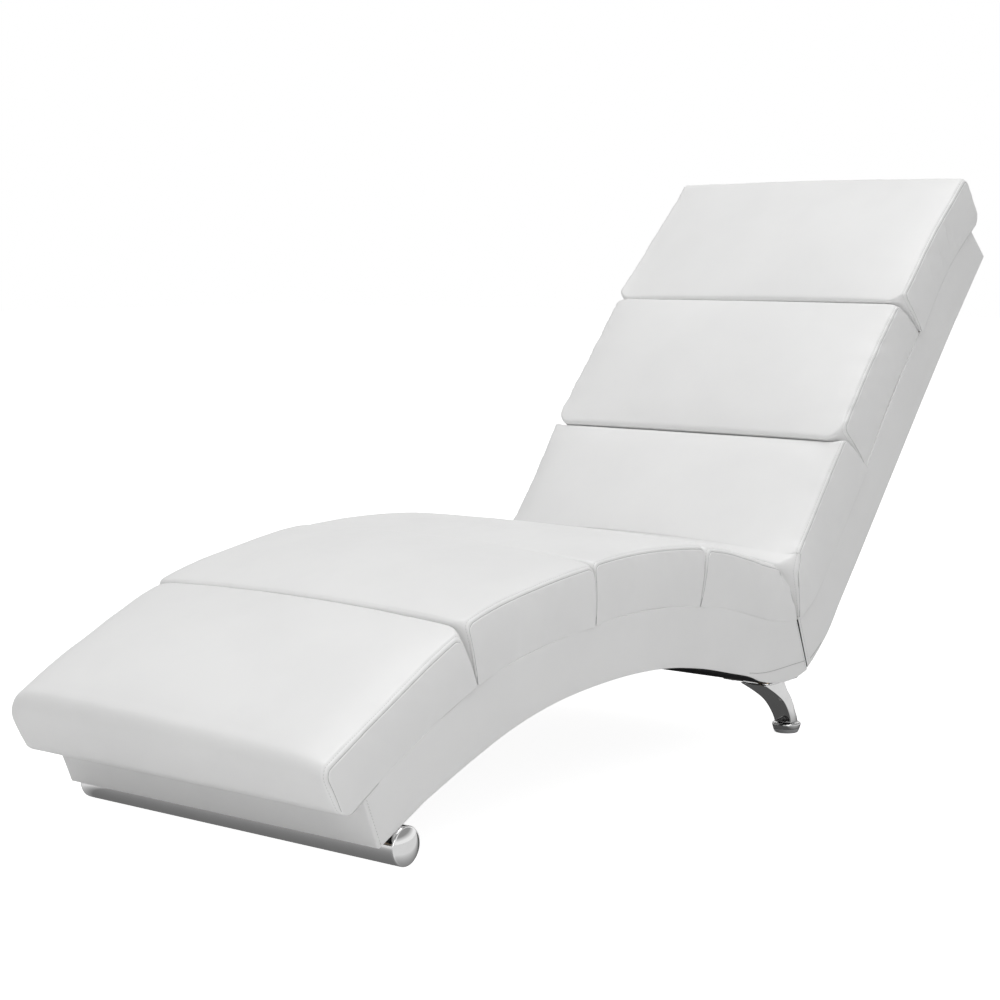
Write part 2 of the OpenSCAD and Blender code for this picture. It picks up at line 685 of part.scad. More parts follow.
module leg_screw_places() {
    for (side = [left, right]) {
        inner = side * (plate_outer - plate_w + screw_edge);
        outer = side * (plate_outer - screw_edge);
        near_x = plate_start + screw_edge - mid_x;
        far_x = level_end - screw_edge - mid_x;
        for (place = [[near_x, inner], [far_x, inner], [far_x, outer]])
            translate([place[0], place[1], leg_top]) children();
    }
}
module screw_hole() {
    translate([0, 0, -overrun]) cylinder(d = screw_d + 2 * thread_fit, h = screw_l + 2 * overrun);
}
function leg_line(shares) =
    smoothed([for (s = shares) [leg_start + s[0] * leg_run, lerp(leg_bottom, leg_top, s[1])]],
             leg_step_count);
module rear_leg(side) {
    leg_rise = leg_top - leg_bottom;
    middle = side * leg_y;
    color("silver") difference() {
        union() {
            intersection() {
                across(middle - leg_top_w / 2, middle + leg_top_w / 2,
                       concat(leg_line(leg_front_shares), reversed(leg_line(leg_rear_shares))));
                translate([-mid_x, middle, leg_bottom]) rotate([90, 0, 90])
                    linear_extrude(overall_length)
                        polygon([[-leg_foot_w / 2, 0], [leg_foot_w / 2, 0],
                                 [leg_top_w / 2, leg_rise], [-leg_top_w / 2, leg_rise]]);
            }
            translate([plate_start - mid_x,
                       side > 0 ? plate_outer - plate_w : -plate_outer, leg_top])
                cube([plate_l, plate_w, plate_t]);
        }
        translate([stud_x, middle, leg_bottom - overrun])
            cylinder(d = stud_d + 2 * stud_fit, h = stud_l + overrun + blind_gap);
        leg_screw_places() translate([0, 0, -overrun])
            cylinder(d = screw_d + 2 * bolt_clearance, h = plate_t + 2 * overrun);
    }
}
module rear_leg_screws() {
    head = screw_d * pan_head;
    color("gray") leg_screw_places() {
        cylinder(d = screw_d, h = screw_l);
        translate([0, 0, -head[0]]) cylinder(d1 = head[1], d2 = head[2], h = head[0]);
    }
}
module levelling_foot(side) {
    rim_steps = 5;
    color("silver") translate([stud_x, side * leg_y, disc_bottom]) rotate_extrude()
        polygon(concat([[0, spigot_h + blind_gap], [spigot_r + stud_fit, spigot_h + blind_gap],
                        [spigot_r + stud_fit, 0], [disc_r - rim, 0]],
                       [for (i = [0 : rim_steps]) let (a = 90 * i / rim_steps)
                           [disc_r - rim + rim * sin(a), rim - rim * cos(a)]],
                       [for (i = [0 : rim_steps]) let (a = 90 * i / rim_steps)
                           [disc_r - rim + rim * cos(a), disc_t - rim + rim * sin(a)]],
                       [[stud_d / 2, disc_t], [stud_d / 2, disc_t + stud_l], [0, disc_t + stud_l]]));
}
module foot_glide(side) {
    top_r = disc_r - rim;
    color("gray") translate([stud_x, side * leg_y, 0]) rotate_extrude()
        polygon([[0, 0], [glide_d / 2, 0], [top_r, glide_t * glide_edge_share], [top_r, glide_t],
                 [spigot_r, glide_t], [spigot_r, glide_t + spigot_h], [0, glide_t + spigot_h]]);
}

base_side_panel(left);  // base_side_panel_left
base_side_panel(right);  // base_side_panel_right
base_front_rail();
base_cross_rail(1);  // base_cross_rail_1
base_cross_rail(2);  // base_cross_rail_2
base_cross_rail(3);  // base_cross_rail_3
base_cross_rail(4);  // base_cross_rail_4
base_rear_rail();
rear_leg_rail();
tube_mounting_board();
base_glue_blocks();
seat_deck_board();
base_side_cover(left);  // base_side_cover_left
base_side_cover(right);  // base_side_cover_right
base_front_cover();
base_dust_cloth();
front_tube();
front_tube_cap(left);  // front_tube_cap_left
front_tube_cap(right);  // front_tube_cap_right
front_tube_saddles();
front_tube_bolts();
back_side_panel(left);  // back_side_panel_left
back_side_panel(right);  // back_side_panel_right
back_bottom_rail();
back_mid_rail(0);  // back_mid_rail_lower
back_mid_rail(1);  // back_mid_rail_upper
back_top_rail();
back_deck_board();
back_rear_board();
back_side_cover(left);  // back_side_cover_left
back_side_cover(right);  // back_side_cover_right
back_rear_cover();
back_top_cover();
back_fixing_bolts();
back_fixing_washers();
back_tee_nuts();
cushion_fixing_strips();
cushion(foot_rings);  // cushion_foot
cushion(seat_rings(1));  // cushion_calf
cushion(seat_rings(2));  // cushion_knee
cushion(seat_rings(3, lean1 = seat_crotch_lean));  // cushion_seat
cushion(back_rings(0, lumbar_cushion_t, lean0 = back_crotch_lean));  // cushion_lumbar
cushion(back_rings(1, shoulder_cushion_t));  // cushion_shoulder
cushion(back_rings(2, head_cushion_t, r1 = head_end_r, under1 = head_under_share));  // cushion_head
rear_leg(left);  // rear_leg_left
rear_leg(right);  // rear_leg_right
rear_leg_screws();
levelling_foot(left);  // levelling_foot_left
levelling_foot(right);  // levelling_foot_right
foot_glide(left);  // foot_glide_left
foot_glide(right);  // foot_glide_right
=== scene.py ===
import json
import math

import bmesh
import bpy
import numpy as np
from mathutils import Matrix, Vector


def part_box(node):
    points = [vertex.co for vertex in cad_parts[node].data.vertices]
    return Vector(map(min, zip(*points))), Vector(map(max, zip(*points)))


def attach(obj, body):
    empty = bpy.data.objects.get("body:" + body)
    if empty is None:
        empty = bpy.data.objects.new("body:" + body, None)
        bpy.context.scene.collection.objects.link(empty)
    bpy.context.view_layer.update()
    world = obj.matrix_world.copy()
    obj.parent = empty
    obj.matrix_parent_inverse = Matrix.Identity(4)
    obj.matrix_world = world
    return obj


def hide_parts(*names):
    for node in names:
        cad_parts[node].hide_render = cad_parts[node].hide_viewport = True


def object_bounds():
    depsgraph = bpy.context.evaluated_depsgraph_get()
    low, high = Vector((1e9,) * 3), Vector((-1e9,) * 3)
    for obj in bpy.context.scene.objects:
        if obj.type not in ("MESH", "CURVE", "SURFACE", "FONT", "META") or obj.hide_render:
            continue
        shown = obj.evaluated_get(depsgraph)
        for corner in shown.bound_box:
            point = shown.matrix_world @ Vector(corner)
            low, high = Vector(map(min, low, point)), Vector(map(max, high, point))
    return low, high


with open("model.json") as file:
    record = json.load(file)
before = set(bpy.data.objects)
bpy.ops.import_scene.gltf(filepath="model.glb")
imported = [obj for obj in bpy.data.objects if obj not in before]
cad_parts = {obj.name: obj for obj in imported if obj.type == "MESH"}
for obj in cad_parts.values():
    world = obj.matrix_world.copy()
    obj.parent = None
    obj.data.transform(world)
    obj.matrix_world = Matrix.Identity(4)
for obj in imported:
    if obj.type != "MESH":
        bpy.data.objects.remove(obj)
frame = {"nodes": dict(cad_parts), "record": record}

cadLow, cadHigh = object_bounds()
scene = bpy.context.scene

# Sizes in metres; the outline points are shares of the length and the height, foot end first
lounger = {
    "length": 1.710, "height": 0.885, "width": 0.570,
    "seatShares": [(0.023, 0.093), (0.082, 0.154), (0.170, 0.233), (0.257, 0.268), (0.351, 0.286),
                   (0.433, 0.283), (0.509, 0.263), (0.579, 0.226), (0.612, 0.213), (0.637, 0.213)],
    "hemStart": (0.058, 0.037),
    "hemShares": [(0.111, 0.086), (0.164, 0.124), (0.216, 0.156), (0.269, 0.177), (0.322, 0.187),
                  (0.374, 0.190), (0.427, 0.185), (0.480, 0.169), (0.526, 0.148), (0.557, 0.133),
                  (0.576, 0.119), (0.597, 0.110), (0.620, 0.106), (0.640, 0.109), (0.657, 0.117)],
    "backShares": [(0.637, 0.213), (0.666, 0.245), (0.702, 0.321), (0.749, 0.436), (0.807, 0.580),
                   (0.866, 0.712), (0.918, 0.822), (0.968, 0.901)],
    "rearShares": [(0.657, 0.117), (0.673, 0.138), (0.696, 0.176), (0.716, 0.223), (0.754, 0.307),
                   (0.819, 0.454), (0.877, 0.585), (0.936, 0.715), (1.000, 0.848)],
    "frontTop": (0.042, 0.111),
    "seatJoints": (0.026, 0.170, 0.3215, 0.4745), "backJoints": (0.760, 0.8628),
    "noseReach": 0.010, "headOverhang": 0.027, "restGap": 0.0003, "cushionGap": 0.0015,
    "splitGap": 0.0016, "splitOpen": 0.0010, "coverInset": 0.001, "hemDrop": 0.0015, "runOn": 0.160,
    "legInset": 0.033, "levelStart": 0.588, "levelEnd": 0.645,
    "cutSteps": 900, "lineSteps": 240,
}
middleX = lounger["length"] - cadHigh.x  # the frame's origin is at the middle of the plan
sides = (("left", -1), ("right", 1))


def sized(shares):
    return np.array(shares, float).reshape(-1, 2) * (lounger["length"], lounger["height"])


def smoothed(points, steps=12):
    last = len(points) - 1
    out = []
    for i in range(last):
        a, b, c, d = points[max(i - 1, 0)], points[i], points[i + 1], points[min(i + 2, last)]
        for t in np.arange(steps) / steps:
            out.append(0.5 * (2 * b + (c - a) * t + (2 * a - 5 * b + 4 * c - d) * t ** 2
                              + (3 * b - a - 3 * c + d) * t ** 3))
    return np.array(out + [points[last]])


def runsOf(line):
    return np.concatenate([[0], np.cumsum(np.linalg.norm(np.diff(line, axis=0), axis=1))])


def runTo(line, share):
    return float(np.interp(share * lounger["length"], line[:, 0], runsOf(line)))


def pointAt(line, s):
    runs = runsOf(line)
    s = np.asarray(s, float)
    inside = np.clip(s, 0, runs[-1])
    p = np.stack([np.interp(inside, runs, line[:, k]) for k in (0, 1)], -1)
    first = (line[1] - line[0]) / runs[1]
    last = (line[-1] - line[-2]) / (runs[-1] - runs[-2])
    return p + np.minimum(s, 0)[..., None] * first + np.maximum(s - runs[-1], 0)[..., None] * last


def normalAt(line, s, reach=0.008):
    d = pointAt(line, s + reach) - pointAt(line, s - reach)
    d /= np.linalg.norm(d, axis=-1, keepdims=True)
    return np.stack([-d[..., 1], d[..., 0]], -1)


def unit(start, end):
    # the direction from one side point to another, and the direction to its left
    d = (end - start) / np.linalg.norm(end - start)
    return d, np.array([-d[1], d[0]])


def movedCut(cut, distance):
    return cut + distance * unit(*cut)[1]


def trimmed(line, front, rear):
    # the stretch of a line between two cuts, run on past its ends first
    s = np.linspace(-lounger["runOn"], runsOf(line)[-1] + lounger["runOn"], lounger["cutSteps"])
    p = pointAt(line, s)
    ends = []
    for cut in (front, rear):
        along, away = cut[1] - cut[0], p - cut[0]
        ends.append(float(np.interp(0, along[0] * away[:, 1] - along[1] * away[:, 0], s)))
    return pointAt(line, np.linspace(*ends, lounger["lineSteps"]))


seatLine = smoothed(sized(lounger["seatShares"]))
hemLine = np.vstack([sized(lounger["hemStart"]), smoothed(sized(lounger["hemShares"]))])
backLine = smoothed(sized(lounger["backShares"]))
rearLine = smoothed(sized(lounger["rearShares"]))
crotch, heel = seatLine[-1], rearLine[0]
frontCut = np.array([sized(lounger["frontTop"])[0], hemLine[0]])
splitCut = np.array([crotch, heel])
topCut = np.array([backLine[-1], rearLine[-1]])
halfCover = lounger["width"] / 2 - lounger["coverInset"]


def toFrame(places, across):
    # side places and a distance across, as points in the part's frame
    return np.stack([places[..., 0] - middleX, across, places[..., 1]], -1)


# Materials: one texture runs each finish between two colours and two roughnesses, and relief may have its own

rampPlaces = (0.35, 0.65)


def setInputs(tree, node, inputs):
    # an input is given as a value, or as the output that is linked to it
    for socket, value in inputs.items():
        if isinstance(value, bpy.types.NodeSocket):
            tree.links.new(value, node.inputs[socket])
        elif value is not None:
            node.inputs[socket].default_value = value


def addNode(tree, kind, inputs, output, **settings):
    # the wanted output of a new node with its inputs and settings
    node = tree.nodes.new(kind)
    for setting, value in settings.items():
        setattr(node, setting, value)
    setInputs(tree, node, inputs)
    return node.outputs[output]


def texture(tree, scale, detail=3.0, roughness=0.5, stretch=None):
    # noise on the object's own coordinates, or a Voronoi pattern where detail names its feature
    place = addNode(tree, "ShaderNodeTexCoord", {}, "Object")
    if stretch:
        place = addNode(tree, "ShaderNodeMapping", {"Scale": stretch, "Vector": place}, "Vector")
    inputs = {"Scale": scale, "Vector": place}
    if isinstance(detail, str):
        return addNode(tree, "ShaderNodeTexVoronoi", inputs, "Distance", feature=detail)
    inputs.update({"Detail": detail, "Roughness": roughness})
    return addNode(tree, "ShaderNodeTexNoise", inputs, "Fac")


def ramp(tree, source, low, high):
    node = tree.nodes.new("ShaderNodeValToRGB")
    for element, place, colour in zip(node.color_ramp.elements, rampPlaces, (low, high)):
        element.position = place
        element.color = (*colour, 1) if isinstance(colour, tuple) else (colour, colour, colour, 1)
    setInputs(tree, node, {"Fac": source})
    return node.outputs["Color"]


def makeFinish(name, look):
    material = bpy.data.materials.new(name)
    material.use_nodes = True
    tree = material.node_tree
    grain = texture(tree, *look["grain"])
    inputs = {"Base Color": ramp(tree, grain, *look["colours"]), "Normal": None, **look.get("fixed", {})}
    if "roughness" in look:
        smooth, rough, *own = look["roughness"]
        inputs["Roughness"] = ramp(tree, texture(tree, *own) if own else grain, smooth, rough)
    for depth, strength, *own in look["relief"]:
        height = texture(tree, *own) if own else grain
        bumps = {"Distance": depth, "Strength": strength, "Height": height, "Normal": inputs["Normal"]}
        inputs["Normal"] = addNode(tree, "ShaderNodeBump", bumps, "Normal")
    setInputs(tree, tree.nodes["Principled BSDF"], inputs)
    return material


def woodLook(dark, light, scale, stretch):
    return {"grain": (scale, 6.0, 0.65, stretch), "colours": (dark, light), "roughness": (0.55, 0.75),
            "relief": ((0.0004, 0.5),)}


def clothLook(dark, light, weave):
    return {"grain": (weave * 0.6, 5.0), "colours": (dark, light), "relief": ((0.0003, 1.0, weave, "F1"),),
            "fixed": {"Roughness": 0.9}}


def threadLook(dark, light):
    return {"grain": (1600.0, 1.0), "colours": (dark, light), "relief": ((0.0001, 1.0),),
            "fixed": {"Roughness": 0.62}}


# textures as scale, detail, roughness and stretch; roughness as smooth, rough and its own texture;
# relief as depth, strength and its own texture
leatherette = {
    "grain": (7.0, 4.0), "colours": ((0.825, 0.825, 0.822), (0.850, 0.850, 0.846)),
    "roughness": (0.40, 0.50, 60.0, 3.0),
    "relief": ((0.0016, 0.6, 9.0, 2.0, 0.4), (0.00010, 0.6, 210.0, 3.0), (0.00012, 0.5, 900.0, "SMOOTH_F1")),
    "fixed": {"Specular IOR Level": 0.42, "Sheen Weight": 0.04, "Sheen Roughness": 0.5},
}
looks = {
    "cushion_leatherette": ("cushionLeatherette", leatherette),
    "frame_leatherette": ("frameLeatherette", {
        **leatherette, "colours": ((0.8085, 0.8085, 0.80556), (0.833, 0.833, 0.82908))}),
    "plywood": ("birchPlywood", woodLook((0.58, 0.42, 0.26), (0.72, 0.56, 0.37), 14.0, (1.0, 6.0, 12.0))),
    "beech": ("beechWood", woodLook((0.55, 0.37, 0.22), (0.70, 0.50, 0.32), 22.0, (9.0, 1.0, 9.0))),
    "hardboard": ("brownHardboard", woodLook((0.20, 0.12, 0.07), (0.30, 0.19, 0.11), 300.0, (1.0, 1.0, 1.0))),
    "dust_cloth": ("blackDustCloth", clothLook((0.010, 0.010, 0.011), (0.022, 0.022, 0.0242), 700.0)),
    "hook_and_loop": ("hookAndLoop", clothLook(0.016, 0.0352, 1500.0)),
    "chrome": ("polishedChrome", {
        "grain": (38.0, 4.0), "colours": (0.768, 0.80), "roughness": (0.03, 0.09),
        "relief": ((0.00004, 0.5, 45.0, 1.0),), "fixed": {"Metallic": 1.0}}),
    "zinc_steel": ("zincPlatedSteel", {
        "grain": (260.0, 4.0), "colours": ((0.50, 0.51, 0.53), (0.66, 0.67, 0.68)), "roughness": (0.28, 0.46),
        "relief": ((0.00008, 1.0),), "fixed": {"Metallic": 1.0}}),
    "glide_plastic": ("greyGlidePlastic", {
        "grain": (520.0, 3.0), "colours": ((0.3696, 0.3696, 0.3784), (0.42, 0.42, 0.43)),
        "roughness": (0.38, 0.52), "relief": ((0.0001, 1.0),)}),
}
finishes = {slotName: makeFinish(*look) for slotName, look in looks.items()}
# painted shade: the seam cords are real thread, coloured dark grey to paint the shade inside the seams'
# grooves
seamShadeThread = makeFinish("seamShadeThread", threadLook(0.43, 0.50))
stitchThread = makeFinish("stitchThread", threadLook((0.5332, 0.5332, 0.5246), (0.62, 0.62, 0.61)))
for row in frame["record"]["subparts"]:
    mesh = frame["nodes"][row["node"]].data
    mesh.materials.clear()
    mesh.materials.append(finishes[row["material_slot"]])
print("materials made")


def makeObject(name, vertices, faces, material, smooth=True):
    mesh = bpy.data.meshes.new(name)
    mesh.from_pydata([tuple(v) for v in vertices], [], faces)
    mesh.materials.append(material)
    mesh.polygons.foreach_set("use_smooth", [smooth] * len(mesh.polygons))
    mesh.update()
    return linked(name, mesh)


def linked(name, data):
    piece = bpy.data.objects.new(name, data)
    scene.collection.objects.link(piece)
    return piece


def vectorsOf(piece, kind):
    # each point's place ("co") or direction ("normal")
    values = np.zeros(len(piece.data.vertices) * 3, np.float32)
    piece.data.vertices.foreach_get(kind, values)
    return values.reshape(-1, 3).astype(float)


def finishPiece(piece, slotName, body, *nodesReplaced):
    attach(piece, body)
    if nodesReplaced:
        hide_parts(*nodesReplaced)


def makeClosed(name, vertices, faces, slotName, body, *nodesReplaced):
    # a finished piece with all of its faces turned outward
    piece = makeObject(name, vertices, faces, finishes[slotName])
    check = bmesh.new()
    check.from_mesh(piece.data)
    bmesh.ops.recalc_face_normals(check, faces=check.faces)
    check.to_mesh(piece.data)
    check.free()
    finishPiece(piece, slotName, body, *nodesReplaced)


# Cushions: a rounded loop in the side plane, carried across the width, with a patch on each side

cushionShape = {
    "edge": 0.0080, "seamTurn": 68.0,  # rounding where a side panel is sewn on, and the seam's place on it
    "underShare": -0.25,               # how far the side panel reaches below the deck, as a share of it
    "freeEnd": 1.0, "innerEnd": 0.15,  # and at the ends
    "rounder": (0.006, 0.008), "cornerReach": 0.030,  # the top corners are rounder beside the seams
    "swell": 0.0022, "drawIn": 0.0034, "tuck": 0.0010, "crownPower": 2.2, "shoulderPower": 18,
    "risePower": 1.5, "leastRadius": 0.0004, "flatFrom": 0.001, "foldEnds": 0.35,
    "leanReach": 0.090, "leanInside": 0.90,  # the ends lean away at the sides and meet in the middle
    "roundTurns": (90, 84.5, 79, 73.5, 68, 62.5, 57, 50, 43, 36.5, 30, 23, 15, 7.5, 0),
    "tightRows": (0.0013, 0.0025, 0.0037, 0.006, 0.009, 0.013, 0.018, 0.024),
    "seamDepth": 0.0009, "seamWidth": 0.0008, "puff": 0.0004, "puffPlace": 0.0028, "puffWidth": 0.0018,
    "stitchTurn": 30.0, "stitchDepth": 0.0005, "stitchWidth": 0.0009,
    "puckers": (((0.013, 0.019, 0.027), 0.0007, 0.007), ((0.045, 0.071), 0.0010, 0.024)),
    "sewnFrom": 0.012, "cell": 0.0045, "arcSteps": 4,
}
cushions = {
    "foot": {
        "thick": 0.070, "thickEnds": (1.04, 1.08), "leans": (0, 9), "wide": 0.002,
        "crown": 0.015, "crownEnds": (0.5, 0.9), "shoulders": (0.004, 0.031), "shoulderEnds": (0.9, 0.25),
        "radii": (0.024, 0.004, 0.004, 0.018), "rounder": (0.008, 0), "pucker": 0.3, "seed": 3},
    "calf": {
        "thick": 0.080, "thickEnds": (1.03, 1), "leans": (-3, 0), "wide": 0.001,
        "crown": 0.016, "crownEnds": (0.6, 0.8), "shoulders": (0.001, 0.0115), "shoulderEnds": (0.35, 1),
        "radii": (0.004, 0.004, 0.006, 0.004), "pucker": 0.3, "seed": 5},
    "knee": {
        "thick": 0.082, "thickEnds": (1, 1.02), "leans": (-1.5, 1), "wide": 0,
        "crown": 0.0085, "crownEnds": (0.8, 0.6), "shoulders": (0, 0.006), "shoulderEnds": (1, 1.1),
        "radii": (0.004, 0.004, 0.006, 0.004), "pucker": 0.3, "seed": 8},
    "seat": {
        "thick": 0.080, "thickEnds": (1.02, 1.01), "leans": (-5, 27), "innerLeans": (0, 46), "wide": 0,
        "crown": 0.0105, "crownEnds": (0.6, 0.3), "shoulders": (0, 0.0026), "shoulderEnds": (1, 1),
        "radii": (0.004, 0.004, 0.009, 0.004), "rounder": (0.015, 0.008), "pucker": 0.6, "seed": 13},
    "lumbar": {
        "thick": 0.088, "thickEnds": (1, 1.02), "leans": (-17, 3), "innerLeans": (0, 8), "wide": 0.003,
        "crown": 0.015, "crownEnds": (0.8, 0.2), "shoulders": (0.001, 0.0098), "shoulderEnds": (0.6, 0.5),
        "radii": (0.004, 0.004, 0.004, 0.010), "rounder": (0.006, 0.022), "pucker": 0.6, "seed": 21},
    "shoulder": {
        "thick": 0.089, "thickEnds": (1.09, 0.97), "leans": (-4.5, 9), "innerLeans": (8, 8),
        "wide": -0.0015, "drawIn": 0.002, "crown": 0.015, "crownEnds": (0.2, 0.2),
        "shoulders": (0, 0.002), "shoulderEnds": (1, 1), "radii": (0.004, 0.004, 0.005, 0.004),
        "pucker": 0.8, "seed": 34},
    "head": {
        "thick": 0.077, "thickEnds": (1.14, 1.12), "leans": (-3, 0), "innerLeans": (8, 0), "wide": 0.003,
        "crown": 0.0125, "crownEnds": (0.2, 0.5), "shoulders": (0.001, -0.0033), "shoulderEnds": (1, 0.6),
        "radii": (0.004, 0.020, 0.014, 0.004), "rounder": (0, 0.006), "pucker": 0.5, "seed": 55,
        "folds": ((0.764, 0.066, 0.752, 0.022, 0.0036, 0.003), (0.729, 0.058, 0.716, 0.018, 0.0032, 0.0026),
                  (0.690, 0.066, 0.677, 0.030, 0.0032, 0.0024), (0.780, 0.050, 0.770, 0.012, 0.004, 0.0018))},
}
gap = lounger["cushionGap"] / 2
seamRise = cushionShape["edge"] * (1 - math.cos(math.radians(cushionShape["seamTurn"])))
seamInset = cushionShape["edge"] * (1 - math.sin(math.radians(cushionShape["seamTurn"])))
seatStations = [runTo(seatLine, share) for share in lounger["seatJoints"]] + [runsOf(seatLine)[-1]]
backStations = [0.0] + [runTo(backLine, share) for share in lounger["backJoints"]]
backStations += [runsOf(backLine)[-1] + lounger["headOverhang"]]
for line, stations, cushionNames in ((seatLine, seatStations, ("foot", "calf", "knee", "seat")),
                                     (backLine, backStations, ("lumbar", "shoulder", "head"))):
    for cushionName, start, end in zip(cushionNames, stations, stations[1:]):
        cushions[cushionName].update(line=line, start=start + gap, end=end - gap,
                                     ends=[cushionShape["innerEnd"]] * 2)
# the free ends stand past their seams
cushions["foot"]["start"] = seatStations[0] - (seamRise + lounger["noseReach"])
cushions["head"]["end"] = backStations[-1] + seamRise
cushions["foot"]["ends"][0] = cushions["head"]["ends"][1] = cushionShape["freeEnd"]


def roundedLoop(spec, height, radii, inset, straightCounts, arcSteps):
    ends = spec["ends"]
    low = inset * cushionShape["underShare"]
    first, last = spec["start"] + inset * ends[0], spec["end"] - inset * ends[1]
    corners = np.array([(first, low), (last, low), (last, height - inset), (first, height - inset)])
    radii = [max(r - inset * ends[k], cushionShape["leastRadius"]) for r, k in zip(radii, (0, 1, 1, 0))]
    points = []
    turns = np.radians(45) * np.arange(arcSteps) / arcSteps
    for k in range(4):
        a, b = corners[k], corners[(k + 1) % 4]
        length = np.linalg.norm(b - a)
        d, inward = unit(a, b)
        ra, rb = radii[k], radii[(k + 1) % 4]
        for turn in np.radians(45) - turns:
            points.append(a + ra * (d + inward) + ra * (-inward * math.cos(turn) - d * math.sin(turn)))
        for share in np.arange(straightCounts[k % 2]) / straightCounts[k % 2]:
            points.append(a + d * (ra + share * (length - ra - rb)))
        for turn in turns:
            points.append(b + rb * (inward - d) + rb * (d * math.sin(turn) - inward * math.cos(turn)))
    return np.array(points)


def acrossRows(half, edge, cell, fine):
    # rows from the near side to the far side as [turn round the edge, across, distance from the seam]
    seamTurn = cushionShape["seamTurn"]
    turns = cushionShape["roundTurns"] if fine else (90, seamTurn, 0)
    near = [(t, half - edge * (1 - math.sin(math.radians(t))), edge * math.radians(abs(t - seamTurn)))
            for t in turns]
    quarter = edge * math.radians(seamTurn)
    near += [(0, half - edge - x, quarter + x) for x in (cushionShape["tightRows"] if fine else ())]
    inner = near[-1][1]
    count = max(2, round(2 * inner / cell))
    middle = [(0, y, quarter + half - edge - abs(y)) for y in np.linspace(-inner, inner, count + 1)[1:-1]]
    return [(t, -y, d) for t, y, d in near] + middle + [(t, y, d) for t, y, d in reversed(near)]


def flatSize(spec):
    # half width and height before rounding
    return lounger["width"] / 2 + spec["wide"] + seamInset, spec["thick"] + seamRise


def patchOf(bottom, top, left, right):
    # fills the loop of a side with a grid between its four edges
    u = (bottom[:, 0] - bottom[0, 0]) / (bottom[-1, 0] - bottom[0, 0])
    v = (left[:, 1] - left[0, 1]) / (left[-1, 1] - left[0, 1])
    U, V = (axis[..., None] for axis in np.meshgrid(u, v, indexing="ij"))
    return ((1 - V) * bottom[:, None] + V * top[:, None] + (1 - U) * left[None] + U * right[None]
            - (1 - U) * (1 - V) * bottom[0] - U * (1 - V) * bottom[-1]
            - (1 - U) * V * top[0] - U * V * top[-1])


def cushionGrid(spec, cell, fine):
    shape = cushionShape
    half, height = flatSize(spec)
    counts = (round((spec["end"] - spec["start"]) / cell), max(3, round(spec["thick"] / cell) - 1))
    arc = shape["arcSteps"] if fine else 2
    rows = acrossRows(half, shape["edge"], cell, fine)
    flat, seamDistance = [], []
    for turn, y, d in rows:
        inset = shape["edge"] * (1 - math.cos(math.radians(turn)))
        nearSide = max(0.0, 1 - d / shape["cornerReach"]) ** 2
        more = (0, 0, *spec.get("rounder", shape["rounder"]))
        rounder = [r + nearSide * extra for r, extra in zip(spec["radii"], more)]
        loop = roundedLoop(spec, height, rounder, inset, counts, arc)
        flat.append(np.column_stack([loop[:, 0], np.full(len(loop), y), loop[:, 1]]))
        seamDistance.append(np.full(len(loop), d))
    loopCount = len(flat[0])
    around = [(i, (i + 1) % loopCount) for i in range(loopCount)]
    faces = [(low + i, low + loopCount + i, low + loopCount + j, low + j)
             for low in range(0, (len(rows) - 1) * loopCount, loopCount) for i, j in around]
    sideS, sideH = (count + 2 * arc for count in counts)
    vertices = [np.vstack(flat)]
    distances = [np.concatenate(seamDistance)]
    total = len(vertices[0])
    patches = []
    for rowIndex in (0, len(rows) - 1):
        loop = flat[rowIndex]
        base = rowIndex * loopCount
        ids = -np.ones((sideS + 1, sideH + 1), int)
        for i in range(sideS + 1):
            ids[i, 0] = base + i
            ids[i, sideH] = base + (2 * sideS + sideH - i) % loopCount
        for j in range(sideH + 1):
            ids[sideS, j] = base + sideS + j
            ids[0, j] = base + (loopCount - j) % loopCount
        edges = [loop[edge - base][:, [0, 2]] for edge in (ids[:, 0], ids[:, sideH], ids[0], ids[sideS])]
        inner = patchOf(*edges)[1:-1, 1:-1].reshape(-1, 2)
        ids[1:-1, 1:-1] = total + np.arange(len(inner)).reshape(sideS - 1, sideH - 1)
        total += len(inner)
        vertices.append(np.column_stack([inner[:, 0], np.full(len(inner), loop[0, 1]), inner[:, 1]]))
        toSeam = np.minimum(np.minimum(inner[:, 0] - spec["start"], spec["end"] - inner[:, 0]),
                            height - inner[:, 1])
        beyondEdge = shape["edge"] * math.radians(90 - shape["seamTurn"])
        distances.append(beyondEdge + np.maximum(toSeam - shape["edge"], 0))
        for i in range(sideS):
            for j in range(sideH):
                quad = (ids[i, j], ids[i + 1, j], ids[i + 1, j + 1], ids[i, j + 1])
                faces.append(quad if rowIndex == 0 else quad[::-1])
        patches.append(ids)
    return {"local": np.vstack(vertices), "faces": faces, "seamDistance": np.concatenate(distances),
            "rows": rows, "loopCount": loopCount, "sideS": sideS, "sideH": sideH, "patches": patches}


def overLength(share, ends):
    # 1 in the middle of a cushion's length, and the given values at its ends
    return ends[0] * (1 - share) + ends[1] * share + 4 * share * (1 - share) * (1 - sum(ends) / 2)


